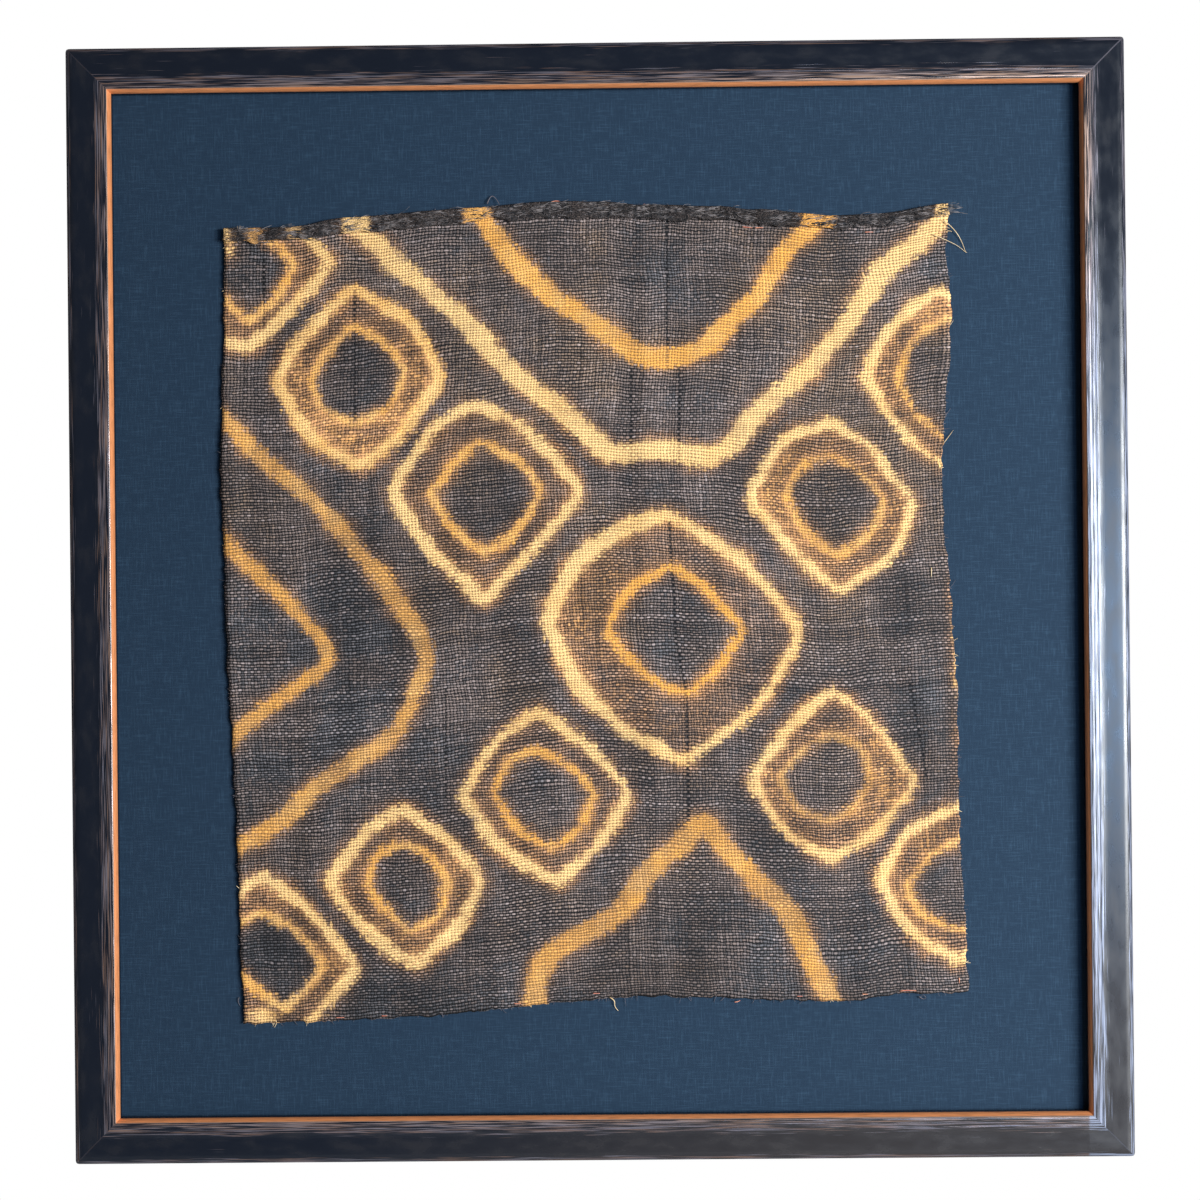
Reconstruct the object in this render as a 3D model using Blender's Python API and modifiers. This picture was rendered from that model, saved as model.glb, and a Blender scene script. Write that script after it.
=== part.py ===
"""A resist-dyed raffia cloth, tacked to blue linen in a dark mitred frame with a copper lip.

Metres, +Z up. The object hangs upright: its front faces -Y, its back is the plane y = 0, and the origin
is the middle of that back. Run with: blender --background --python part.py
"""

import math
from collections import namedtuple

import bmesh
import bpy
from mathutils import Vector

MM = 0.001

# Driving dimensions
FRAME_WIDTH = 760 * MM
FRAME_HEIGHT = 802 * MM
CORNER_RADIUS = 3 * MM
PIECE_GAP = 0.3 * MM

BOARD_THICKNESS = 10 * MM
BOARD_EDGE_BEVEL = 0.8 * MM
LINEN_THICKNESS = 1 * MM
LINEN_TURN_DEPTH = 9 * MM
LINEN_FOLD_RADIUS = 0.8 * MM

CLOTH_THICKNESS = 1.2 * MM
HEM_DEPTH = 9 * MM
HEM_INNER_GAP = 0.5 * MM
CLOTH_COLUMNS = 44
CLOTH_ROWS = 38
HEM_TURN_ROWS = 4
HEM_FLAP_ROWS = 2

COLLECTION_NAME = "kuba_raffia_cloth_in_frame"

# The moulding's section, from the outer back edge over the front to the inner back edge. Each row ends
# a stretch: how far across the rail and how high above the back it ends (mm), how far its middle bulges
# out from a straight line (mm), and how many straight pieces it is drawn with.
Stretch = namedtuple("Stretch", "name across height bulge pieces")
MOULDING = (
    Stretch("outer side", 0.0, 20.6, 0.0, 1),
    Stretch("rounded shoulder", 6.4, 23.2, 0.7, 6),
    Stretch("broad flat", 20.9, 22.9, 0.0, 1),
    Stretch("first reed", 23.6, 23.0, 0.3, 3),
    Stretch("second reed", 26.3, 23.2, 0.3, 3),
    Stretch("third reed", 29.0, 23.3, 0.35, 3),
    Stretch("lip edge", 29.9, 22.7, 0.3, 2),
    Stretch("lip slope", 32.1, 18.9, 0.3, 3),
    Stretch("lip wall", 31.0, 11.6, 0.0, 1),
    Stretch("rebate ledge", 27.9, 11.6, 0.0, 1),
    Stretch("rebate side", 27.9, 0.0, 0.0, 1),
)
REBATE_ACROSS = 27.9 * MM

# The cloth's corners on the frame (mm right of and above its middle)
CORNER_BOTTOM_LEFT = (-259.2, -303.1)
CORNER_BOTTOM_RIGHT = (264.2, -284.3)
CORNER_TOP_LEFT = (-268.4, 271.5)
CORNER_TOP_RIGHT = (254.9, 284.0)

# How each edge wanders outward (mm) from the straight line between its corners, at a share of its length.
# Side edges run from the top down, the others from left to right.
Drift = namedtuple("Drift", "share out")
LEFT_EDGE = (
    Drift(0.00, 0.0), Drift(0.09, 1.3), Drift(0.23, 4.8), Drift(0.30, 7.0), Drift(0.42, 5.6),
    Drift(0.56, 5.2), Drift(0.64, 3.4), Drift(0.76, 1.6), Drift(0.90, 1.4), Drift(1.00, 0.0),
)
RIGHT_EDGE = (
    Drift(0.00, 0.0), Drift(0.06, -2.8), Drift(0.11, -0.2), Drift(0.18, -1.2), Drift(0.25, -5.9),
    Drift(0.33, -9.8), Drift(0.40, -9.5), Drift(0.50, -5.8), Drift(0.60, -3.0), Drift(0.77, -3.3),
    Drift(0.96, -1.4), Drift(1.00, 0.0),
)
TOP_EDGE = (
    Drift(0.00, 0.0), Drift(0.09, -0.5), Drift(0.17, 5.0), Drift(0.34, 8.7), Drift(0.45, 11.5),
    Drift(0.52, 10.2), Drift(0.58, 6.6), Drift(0.68, 4.0), Drift(0.73, 0.6), Drift(0.85, -5.9),
    Drift(0.90, -5.6), Drift(1.00, 0.0),
)
BOTTOM_EDGE = (
    Drift(0.00, 0.0), Drift(0.13, 0.8), Drift(0.25, 0.5), Drift(0.35, -2.5), Drift(0.44, -5.6),
    Drift(0.55, -7.1), Drift(0.65, -4.0), Drift(0.75, -0.1), Drift(0.83, 2.3), Drift(0.91, -1.0),
    Drift(1.00, 0.0),
)

# Soft creases and ripples that stand off the linen: both ends (mm), height and half width (mm)
Crease = namedtuple("Crease", "name x0 z0 x1 z1 height spread")
CREASES = (
    Crease("long fold line", 40, 270, 36, -150, 0.9, 11),
    Crease("second fold line", 72, 262, 66, -20, 0.6, 11),
    Crease("first hem pucker", -236, 262, -228, 232, 0.9, 11),
    Crease("second hem pucker", -196, 266, -192, 236, 0.7, 11),
    Crease("left edge lift", -268, 120, -266, -30, 0.9, 13),
    Crease("right edge lift", 252, 150, 250, 40, 0.8, 13),
    Crease("slanting crease", 230, -50, 247, -120, 1.0, 12),
    Crease("first low ripple", 112, -226, 104, -286, 1.0, 11),
    Crease("second low ripple", 152, -232, 148, -287, 1.2, 11),
    Crease("third low ripple", 192, -238, 192, -289, 1.3, 11),
    Crease("fourth low ripple", 234, -230, 240, -284, 1.4, 12),
)
WAVE_HEIGHT = 0.25
WAVE_LENGTH_ACROSS = 190
WAVE_LENGTH_UP = 150


def clear_scene():
    for old in list(bpy.data.objects):
        bpy.data.objects.remove(old, do_unlink=True)


def plain_material(name, colour, roughness, metallic=0.0):
    material = bpy.data.materials.new(name)
    material.use_nodes = True
    shader = material.node_tree.nodes["Principled BSDF"]
    shader.inputs["Base Color"].default_value = (*colour, 1.0)
    shader.inputs["Roughness"].default_value = roughness
    shader.inputs["Metallic"].default_value = metallic
    return material


def add_object(name, bm, material, collection):
    """Turns a bmesh into a named object in the object's collection."""
    bmesh.ops.recalc_face_normals(bm, faces=bm.faces)
    mesh = bpy.data.meshes.new(name)
    bm.to_mesh(mesh)
    bm.free()
    mesh.materials.append(material)
    piece = bpy.data.objects.new(name, mesh)
    collection.objects.link(piece)
    return piece


# Frame rails


def moulding_points():
    """The section as (across, height) points in metres, starting at the outer back edge."""
    points = [Vector((0.0, 0.0))]
    for stretch in MOULDING:
        start = points[-1]
        end = Vector((stretch.across, stretch.height)) * MM
        run = end - start
        outward = Vector((-run.y, run.x)).normalized()
        for piece in range(1, stretch.pieces + 1):
            share = piece / stretch.pieces
            swell = 4 * share * (1 - share) * stretch.bulge * MM
            points.append(start + run * share + outward * swell)
    return points


def cut_off(bm, point, normal):
    """Removes what lies beyond a plane and closes the cut."""
    geometry = bm.verts[:] + bm.edges[:] + bm.faces[:]
    bmesh.ops.bisect_plane(bm, geom=geometry, plane_co=point, plane_no=normal, clear_outer=True)
    bmesh.ops.holes_fill(bm, edges=[edge for edge in bm.edges if edge.is_boundary], sides=0)


def make_rail(name, length, place, turn, material, collection):
    """One mitred rail. It runs along its own X, with its outer face at z = 0 and the frame's middle below."""
    bm = bmesh.new()
    section = moulding_points()[:-1]
    corners = [bm.verts.new((-length / 2 + across, -height, -across)) for across, height in section]
    face = bm.faces.new(corners)
    extruded = bmesh.ops.extrude_face_region(bm, geom=[face])
    mitre_gap = PIECE_GAP / math.sqrt(2)
    for corner in corners:
        corner.co.x += mitre_gap
    for item in extruded["geom"]:
        if isinstance(item, bmesh.types.BMVert):
            item.co.x = -item.co.x - mitre_gap
    for side in (-1, 1):
        round_centre = Vector((side * (length / 2 - CORNER_RADIUS), 0, -CORNER_RADIUS))
        for degrees in (11, 28, 45):
            angle = math.radians(degrees)
            normal = Vector((side * math.sin(angle), 0, math.cos(angle)))
            cut_off(bm, round_centre + normal * CORNER_RADIUS, normal)
    rail = add_object(name, bm, material, collection)
    rail.location = place
    rail.rotation_euler = (0, math.radians(turn), 0)
    return rail


def make_frame(collection):
    """Four mitred rails around the middle of the back."""
    paint = plain_material("dark rubbed paint", (0.025, 0.027, 0.035), 0.35)
    half_width = FRAME_WIDTH / 2
    half_height = FRAME_HEIGHT / 2
    make_rail("rail_top", FRAME_WIDTH, (0, 0, half_height), 0, paint, collection)
    make_rail("rail_right", FRAME_HEIGHT, (half_width, 0, 0), 90, paint, collection)
    make_rail("rail_bottom", FRAME_WIDTH, (0, 0, -half_height), 180, paint, collection)
    make_rail("rail_left", FRAME_HEIGHT, (-half_width, 0, 0), 270, paint, collection)


# Mount board and linen


def make_block(width, depth, height, front):
    """A bmesh block whose front face is at y = -front."""
    bm = bmesh.new()
    bmesh.ops.create_cube(bm, size=1.0)
    bmesh.ops.scale(bm, vec=(width, depth, height), verts=bm.verts)
    bmesh.ops.translate(bm, vec=(0, depth / 2 - front, 0), verts=bm.verts)
    return bm


def linen_size():
    """Outer width and height of the stretched linen, which just fits the rebate."""
    margin = 2 * (REBATE_ACROSS + PIECE_GAP)
    return FRAME_WIDTH - margin, FRAME_HEIGHT - margin


def make_board(collection):
    """The plain board that the linen is stretched over. Its back is flush with the rails' backs."""
    width, height = linen_size()
    margin = 2 * (LINEN_THICKNESS + PIECE_GAP)
    bm = make_block(width - margin, BOARD_THICKNESS, height - margin, BOARD_THICKNESS)
    material = plain_material("pale fibreboard", (0.62, 0.52, 0.38), 0.8)
    board = add_object("mount_board", bm, material, collection)
    bevel = board.modifiers.new("softened edges", "BEVEL")
    bevel.width = BOARD_EDGE_BEVEL
    bevel.segments = 1
    return board


def linen_front():
    """How far the linen's front stands in front of the object's back."""
    return BOARD_THICKNESS + PIECE_GAP + LINEN_THICKNESS


def make_linen(collection):
    """Linen drawn over the board's front and turned down its four edges, open at the back."""
    width, height = linen_size()
    bm = make_block(width, LINEN_TURN_DEPTH, height, linen_front())
    bm.normal_update()
    back = [face for face in bm.faces if face.normal.y > 0.5]
    bmesh.ops.delete(bm, geom=back, context="FACES_ONLY")
    material = plain_material("blue linen", (0.025, 0.055, 0.095), 0.85)
    linen = add_object("mount_linen", bm, material, collection)
    fold = linen.modifiers.new("soft folds", "BEVEL")
    fold.width = LINEN_FOLD_RADIUS
    fold.segments = 2
    wall = linen.modifiers.new("linen thickness", "SOLIDIFY")
    wall.thickness = LINEN_THICKNESS
    wall.offset = -1
    wall.use_even_offset = True
    return linen


# Raffia cloth


def smooth_drift(edge, share):
    """The wander of an edge at a share of its length, on a smooth curve through its rows."""
    for before, after in zip(edge, edge[1:]):
        if share <= after.share:
            step = (share - before.share) / (after.share - before.share)
            ease = step * step * (3 - 2 * step)
            return before.out + (after.out - before.out) * ease
    return edge[-1].out


def edge_point(start, end, edge, outward, share):
    """A point of an edge, in mm: the straight line between two corners plus the edge's wander."""
    line = Vector(start).lerp(Vector(end), share)
    return line + Vector(outward) * smooth_drift(edge, share)


def cloth_point(across, up):
    """Where a point of the cloth lies on the mount, in mm, from its shares across and up the cloth."""
    left = edge_point(CORNER_TOP_LEFT, CORNER_BOTTOM_LEFT, LEFT_EDGE, (-1, 0), 1 - up)
    right = edge_point(CORNER_TOP_RIGHT, CORNER_BOTTOM_RIGHT, RIGHT_EDGE, (1, 0), 1 - up)
    top = edge_point(CORNER_TOP_LEFT, CORNER_TOP_RIGHT, TOP_EDGE, (0, 1), across)
    bottom = edge_point(CORNER_BOTTOM_LEFT, CORNER_BOTTOM_RIGHT, BOTTOM_EDGE, (0, -1), across)
    low = Vector(CORNER_BOTTOM_LEFT).lerp(Vector(CORNER_BOTTOM_RIGHT), across)
    high = Vector(CORNER_TOP_LEFT).lerp(Vector(CORNER_TOP_RIGHT), across)
    return left.lerp(right, across) + bottom.lerp(top, up) - low.lerp(high, up)


def crease_height(crease, x, z):
    """How far one crease lifts the cloth at a point, in mm."""
    start = Vector((crease.x0, crease.z0))
    run = Vector((crease.x1, crease.z1)) - start
    share = (Vector((x, z)) - start).dot(run) / run.length_squared
    nearest = start + run * min(max(share, 0.0), 1.0)
    distance = (Vector((x, z)) - nearest).length
    return crease.height * math.exp(-((distance / crease.spread) ** 2))


def cloth_lift(x, z):
    """How far the cloth stands off the linen at a point, in mm, above its closest fit."""
    wave_across = math.sin(2 * math.pi * x / WAVE_LENGTH_ACROSS + 0.7)
    wave_up = math.sin(2 * math.pi * z / WAVE_LENGTH_UP - 0.4)
    wave = WAVE_HEIGHT * (1 + wave_across * wave_up)
    return wave + sum(crease_height(crease, x, z) for crease in CREASES)


def sheet_rows():
    """The cloth's rows from its lower edge up, round the hem's fold and down its flap.

    Each row is (share up the cloth, drop below the top edge, step forward of the back layer), in metres.
    """
    turn_radius = (CLOTH_THICKNESS + HEM_INNER_GAP) / 2
    top_share = 1 - turn_radius / (CORNER_TOP_LEFT[1] * MM - CORNER_BOTTOM_LEFT[1] * MM)
    rows = [(top_share * row / CLOTH_ROWS, 0.0, 0.0) for row in range(CLOTH_ROWS + 1)]
    for turn in range(1, HEM_TURN_ROWS + 1):
        angle = math.pi * turn / HEM_TURN_ROWS
        rows.append((top_share, -turn_radius * math.sin(angle), turn_radius * (1 - math.cos(angle))))
    for flap in range(1, HEM_FLAP_ROWS + 1):
        rows.append((top_share, HEM_DEPTH * flap / HEM_FLAP_ROWS, 2 * turn_radius))
    return rows


def make_cloth(collection):
    """The raffia sheet, with its top edge folded to the front as a hem."""
    rows = sheet_rows()
    bm = bmesh.new()
    bmesh.ops.create_grid(bm, x_segments=CLOTH_COLUMNS, y_segments=len(rows) - 1, size=0.5)
    back_layer = linen_front() + PIECE_GAP + CLOTH_THICKNESS / 2
    for vertex in bm.verts:
        across = vertex.co.x + 0.5
        share, drop, forward = rows[round((vertex.co.y + 0.5) * (len(rows) - 1))]
        x, z = cloth_point(across, share)
        z -= drop / MM
        lift = cloth_lift(x, z) * MM
        vertex.co = (x * MM, -(back_layer + lift + forward), z * MM)
    material = plain_material("dyed raffia", (0.09, 0.065, 0.055), 0.9)
    cloth = add_object("raffia_cloth", bm, material, collection)
    wall = cloth.modifiers.new("raffia thickness", "SOLIDIFY")
    wall.thickness = CLOTH_THICKNESS
    wall.offset = 0
    cloth.data.shade_smooth()
    return cloth


def main():
    clear_scene()
    collection = bpy.data.collections.new(COLLECTION_NAME)
    bpy.context.scene.collection.children.link(collection)
    make_frame(collection)
    make_board(collection)
    make_linen(collection)
    make_cloth(collection)


main()
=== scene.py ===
"""A resist-dyed raffia cloth on blue linen, in a dark rubbed frame with a copper lip: its finished look.

Metres, +Z up. The front faces -Y, the back is the plane y = 0 and the origin is the middle of the back.
Tables give places in millimetres to the right of and above that middle, as seen from the front.
"""

import math
from collections import namedtuple

import bmesh
import bpy
import numpy as np
from mathutils import Matrix, Vector


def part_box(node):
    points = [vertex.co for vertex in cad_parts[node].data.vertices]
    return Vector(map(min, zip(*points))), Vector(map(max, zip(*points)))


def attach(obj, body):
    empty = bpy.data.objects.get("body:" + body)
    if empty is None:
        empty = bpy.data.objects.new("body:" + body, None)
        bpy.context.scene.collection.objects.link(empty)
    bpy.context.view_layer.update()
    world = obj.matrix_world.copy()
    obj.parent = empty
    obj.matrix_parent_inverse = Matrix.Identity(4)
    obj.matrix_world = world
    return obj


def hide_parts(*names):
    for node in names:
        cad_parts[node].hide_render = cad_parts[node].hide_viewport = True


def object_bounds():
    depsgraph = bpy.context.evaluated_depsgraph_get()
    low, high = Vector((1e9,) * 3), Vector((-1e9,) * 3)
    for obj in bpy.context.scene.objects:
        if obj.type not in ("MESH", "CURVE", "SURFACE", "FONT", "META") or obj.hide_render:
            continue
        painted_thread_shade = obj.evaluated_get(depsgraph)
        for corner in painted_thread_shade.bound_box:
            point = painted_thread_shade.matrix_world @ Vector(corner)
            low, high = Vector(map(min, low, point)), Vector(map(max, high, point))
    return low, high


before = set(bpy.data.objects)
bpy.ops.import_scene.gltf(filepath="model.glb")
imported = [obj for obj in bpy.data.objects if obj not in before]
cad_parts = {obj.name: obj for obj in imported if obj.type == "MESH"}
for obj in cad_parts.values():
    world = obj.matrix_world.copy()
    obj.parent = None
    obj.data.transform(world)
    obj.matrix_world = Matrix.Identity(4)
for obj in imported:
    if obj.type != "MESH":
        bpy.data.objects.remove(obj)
CAD_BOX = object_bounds()

bl_info = {
    "name": "Framed raffia cloth",
    "version": (1, 0, 0),
    "blender": (4, 5, 0),
    "location": "View3D > Sidebar > Raffia",
    "description": "Builds a framed, resist-dyed raffia cloth with its linen mount and studio stage",
    "category": "Object",
}

MM = 0.001
BODY = "root"

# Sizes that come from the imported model
FRAME_WIDTH = CAD_BOX[1].x - CAD_BOX[0].x
FRAME_HEIGHT = CAD_BOX[1].z - CAD_BOX[0].z
LINEN_LOW, LINEN_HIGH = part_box("mount_linen")

# Sizes that the pieces share with the model
PIECE_GAP = 0.3 * MM
CORNER_RADIUS = 3 * MM
LINEN_THICKNESS = 1 * MM
LINEN_FOLD_RADIUS = 0.8 * MM
CLOTH_SOLID_THICKNESS = 1.2 * MM
HEM_INNER_GAP = 0.5 * MM

# The moulding's section, from the outer back edge over the front to the inner back edge. Each row ends
# a stretch: how far across the rail and how high above the back it ends (mm), how far its middle bulges
# out from a straight line (mm), and how many straight pieces it is drawn with.
Stretch = namedtuple("Stretch", "name across height bulge pieces")
MOULDING = (
    Stretch("outer side", 0.0, 20.6, 0.0, 2),
    Stretch("rounded shoulder", 6.4, 23.2, 0.7, 10),
    Stretch("broad flat", 20.9, 22.9, 0.0, 4),
    Stretch("first reed", 23.6, 23.0, 0.15, 5),
    Stretch("second reed", 26.3, 23.2, 0.15, 5),
    Stretch("third reed", 29.0, 23.3, 0.2, 5),
    Stretch("lip edge", 29.9, 22.7, 0.3, 3),
    Stretch("lip slope", 32.1, 18.9, 0.3, 5),
    Stretch("lip wall", 31.0, 11.6, 0.0, 1),
    Stretch("rebate ledge", 27.9, 11.6, 0.0, 1),
    Stretch("rebate side", 27.9, 0.0, 0.0, 1),
)
VISUAL_MITRE_GAP = 0.06 * MM
RAIL_STATIONS = 90
CORNER_CUTS = 5
RAIL_SHARP_ANGLE = math.radians(34)
LINEN_SHARP_ANGLE = math.radians(60)

# Where the reeds lie in the section, counted in stretches, and how far their tops waver (mm)
REEDS_START = 3.05
REEDS_END = 5.95
COMB_WAVE = 0.1
# How far apart the rails lie in the streaks' noise (mm), so that no two rails look alike
STREAK_STEP = 1000

# The cloth's corners (mm)
CORNER_BOTTOM_LEFT = (-259.2, -303.1)
CORNER_BOTTOM_RIGHT = (264.2, -284.3)
CORNER_TOP_LEFT = (-268.4, 271.5)
CORNER_TOP_RIGHT = (254.9, 284.0)

# How each edge of the cloth wanders outward (mm) from the straight line between its corners, at a share
# of its length. Side edges run from the top down, the others from left to right.
Drift = namedtuple("Drift", "share out")
LEFT_EDGE = (
    Drift(0.00, 0.0), Drift(0.09, 1.3), Drift(0.23, 4.8), Drift(0.30, 7.0), Drift(0.42, 5.6),
    Drift(0.56, 5.2), Drift(0.64, 3.4), Drift(0.76, 1.6), Drift(0.90, 1.4), Drift(1.00, 0.0),
)
RIGHT_EDGE = (
    Drift(0.00, 0.0), Drift(0.06, -2.8), Drift(0.11, -0.2), Drift(0.18, -1.2), Drift(0.25, -5.9),
    Drift(0.33, -9.8), Drift(0.40, -9.5), Drift(0.50, -5.8), Drift(0.60, -3.0), Drift(0.77, -3.3),
    Drift(0.96, -1.4), Drift(1.00, 0.0),
)
TOP_EDGE = (
    Drift(0.00, 0.0), Drift(0.09, -0.5), Drift(0.17, 5.0), Drift(0.34, 8.7), Drift(0.45, 11.5),
    Drift(0.52, 10.2), Drift(0.58, 6.6), Drift(0.68, 4.0), Drift(0.73, 0.6), Drift(0.85, -5.9),
    Drift(0.90, -5.6), Drift(1.00, 0.0),
)
BOTTOM_EDGE = (
    Drift(0.00, 0.0), Drift(0.13, 0.8), Drift(0.25, 0.5), Drift(0.35, -2.5), Drift(0.44, -5.6),
    Drift(0.55, -7.1), Drift(0.65, -4.0), Drift(0.75, -0.1), Drift(0.83, 2.3), Drift(0.91, -1.0),
    Drift(1.00, 0.0),
)

# Soft creases and ripples that stand off the linen: both ends (mm), height and half width (mm)
Crease = namedtuple("Crease", "name x0 z0 x1 z1 height spread")
CREASES = (
    Crease("long fold line", 40, 270, 36, -150, 0.9, 11),
    Crease("second fold line", 72, 262, 66, -20, 0.6, 11),
    Crease("first hem pucker", -236, 262, -228, 232, 0.9, 11),
    Crease("second hem pucker", -196, 266, -192, 236, 0.7, 11),
    Crease("left edge lift", -268, 120, -266, -30, 0.9, 13),
    Crease("left edge off the linen", -270, 275, -260, -302, 1.5, 8),
    Crease("right edge lift", 252, 150, 250, 40, 0.8, 13),
    Crease("slanting crease", 222, -30, 244, -112, 1.3, 10),
    Crease("first low ripple", 112, -226, 104, -286, 1.0, 11),
    Crease("second low ripple", 152, -232, 148, -287, 1.2, 11),
    Crease("third low ripple", 192, -238, 192, -289, 1.3, 11),
    Crease("fourth low ripple", 234, -230, 240, -284, 1.4, 12),
)
WAVE_HEIGHT = 0.25
WAVE_LENGTH_ACROSS = 190
WAVE_LENGTH_UP = 150

# The cloth's mean width and height (mm), and how far in its raw edges are ragged (mm)
CLOTH_WIDTH = 525
CLOTH_HEIGHT = 575
RAGGED_REACH = 5

# How finely the cloth is drawn
CLOTH_COLUMNS = 208
CLOTH_FLAT_ROWS = 218
HEM_TURN_ROWS = 6
HEM_FLAP_ROWS = 6

# The dye's nested lozenges. Each ring has four corners (mm), then, for its upper right, lower right,
# lower left and upper left sides, how far the side bows out and half its width (mm). Hue runs from
# cream at 0 to orange at 1. Strength is how clear the ring stands against the dark ground.
Ring = namedtuple("Ring", "north east south west bows half_widths hue strength")
TIP_SHARPNESS = 1.9

# Haze is the tan stain between a lozenge's rings, towards its top, right, bottom and left
Lozenge = namedtuple("Lozenge", "name outer inner haze")
LOZENGES = (
    Lozenge(
        "upper left",
        Ring((-177, 229), (-111, 164), (-173, 98), (-234, 161),
             (12, 6, 9, 4), (4.4, 4.8, 4.4, 4.4), 0.35, 1.0),
        Ring((-175, 200), (-138, 167), (-175, 128), (-206, 161),
             (6, 7, 8, 4), (2.9, 2.9, 2.9, 2.9), 0.7, 0.8),
        (0.47, 1.0, 1.0, 0.91),
    ),
    Lozenge(
        "second",
        Ring((-88, 146), (-11, 81), (-82, 0), (-150, 81),
             (6, 2, 6, 8), (3.5, 3.7, 4.5, 4.2), 0.1, 1.0),
        Ring((-86, 118), (-40, 79), (-81, 34), (-122, 79),
             (6, 4, 5, 1), (3.2, 3.2, 2.9, 2.9), 0.75, 0.9),
        (0.3, 0.24, 0.36, 0.41),
    ),
    Lozenge(
        "middle",
        Ring((48, 65), (148, -24), (61, -119), (-41, -16),
             (9, 11, 16, 17), (3.7, 3.9, 4.2, 6.2), 0.15, 1.0),
        Ring((52, 27), (104, -23), (64, -68), (4, -23),
             (4, 4, 7, 8), (3.0, 3.2, 2.9, 2.9), 1.0, 1.1),
        (0.35, 0.2, 0.4, 0.65),
    ),
    Lozenge(
        "right",
        Ring((169, 130), (230, 69), (174, 4), (108, 75),
             (4, 11, 4, 12), (3.0, 3.0, 3.5, 4.0), 0.15, 0.95),
        Ring((169, 104), (208, 71), (172, 31), (134, 75),
             (4, 8, 6, 9), (2.6, 2.9, 2.6, 2.6), 0.7, 0.75),
        (0.58, 0.85, 0.63, 1.0),
    ),
    Lozenge(
        "lower right",
        Ring((169, -64), (228, -132), (168, -189), (108, -130),
             (5, 6, 9, 5), (3.0, 3.5, 3.7, 3.9), 0.2, 0.95),
        Ring((165, -97), (196, -131), (166, -161), (129, -128),
             (10, 5, 8, 5), (2.6, 2.7, 2.4, 2.4), 0.6, 0.6),
        (0.47, 1.0, 0.52, 0.74),
    ),
    Lozenge(
        "lower middle",
        Ring((-44, -79), (22, -137), (-32, -204), (-102, -140),
             (4, 5, 8, 7), (3.7, 3.7, 3.9, 4.0), 0.1, 1.0),
        Ring((-47, -106), (-5, -139), (-36, -179), (-79, -138),
             (5, 7, 6, 6), (2.9, 2.9, 2.9, 2.9), 0.8, 0.85),
        (0.24, 0.3, 0.41, 0.41),
    ),
    Lozenge(
        "lower left",
        Ring((-143, -147), (-86, -201), (-135, -263), (-197, -200),
             (3, 6, 7, 6), (3.7, 3.9, 4.0, 4.0), 0.1, 1.0),
        Ring((-145, -173), (-111, -201), (-137, -238), (-171, -203),
             (4, 7, 3, 7), (2.9, 2.9, 2.9, 2.9), 0.7, 0.85),
        (0.41, 0.74, 0.74, 0.41),
    ),
    Lozenge(
        "top left edge",
        Ring((-237, 294), (-190, 245), (-254, 185), (-298, 228),
             (3, 2, 8, 3), (3.4, 3.7, 3.7, 3.5), 0.2, 0.95),
        Ring((-251, 275), (-217, 244), (-253, 206), (-283, 241),
             (2, 5, 2, 3), (2.6, 3.0, 2.7, 2.4), 0.6, 0.9),
        (0.63, 0.41, 0.52, 0.63),
    ),
    Lozenge(
        "bottom left edge",
        Ring((-247, -196), (-177, -262), (-241, -327), (-306, -257),
             (5, 2, 4, 5), (3.7, 3.7, 3.7, 3.7), 0.1, 1.0),
        Ring((-245, -221), (-202, -262), (-232, -294), (-276, -254),
             (5, 2, 1, 8), (2.9, 3.0, 2.9, 2.6), 0.6, 0.9),
        (0.52, 0.85, 0.41, 0.41),
    ),
    Lozenge(
        "top right edge",
        Ring((248, 225), (313, 159), (254, 91), (192, 161),
             (6, 6, 5, 8), (3.5, 3.5, 3.2, 4.0), 0.15, 0.95),
        Ring((255, 203), (291, 159), (252, 114), (217, 160),
             (5, 5, 5, 9), (2.7, 2.7, 2.4, 3.0), 0.6, 0.85),
        (0.96, 0.41, 0.41, 0.74),
    ),
    Lozenge(
        "bottom right edge",
        Ring((259, -147), (317, -205), (257, -263), (199, -202),
             (6, 6, 10, 8), (3.5, 3.5, 3.8, 3.7), 0.15, 0.95),
        Ring((262, -172), (296, -206), (258, -240), (219, -207),
             (5, 5, 7, 5), (2.6, 2.6, 2.6, 2.7), 0.6, 0.8),
        (0.63, 0.41, 0.52, 0.85),
    ),
)

# The dye's open bands, each through a few points (mm)
Band = namedtuple("Band", "name points half_width hue strength")
BANDS = (
    Band(
        "outer band from the top edge",
        ((-178, 279), (-143, 245), (-101, 208), (-66, 170), (-25, 138), (8, 108), (47, 109), (85, 104),
         (116, 134), (152, 166), (182, 201), (206, 234), (240, 263), (256, 283)),
        6.9, 0.12, 0.93,
    ),
    Band(
        "inner band from the top edge",
        ((-84, 284), (-62, 249), (-33, 221), (0, 199), (29, 179), (65, 178), (90, 193), (116, 219),
         (137, 250), (157, 270)),
        7.0, 0.8, 0.85,
    ),
    Band(
        "outer band from the left edge",
        ((-272, 136), (-232, 97), (-197, 66), (-167, 30), (-135, -14), (-125, -38), (-132, -62),
         (-149, -94), (-187, -119), (-229, -153), (-264, -177)),
        6.0, 0.75, 0.68,
    ),
    Band(
        "inner band from the left edge",
        ((-275, 48), (-243, 19), (-222, -4), (-197, -37), (-214, -55), (-240, -75), (-268, -97)),
        5.4, 0.85, 0.72,
    ),
    Band(
        "peak from the bottom edge",
        ((-50, -300), (-46, -268), (-30, -250), (8, -228), (34, -196), (60, -174), (75, -163),
         (88, -176), (112, -202), (138, -231), (152, -262), (168, -292)),
        7.4, 0.85, 0.66,
    ),
)

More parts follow.
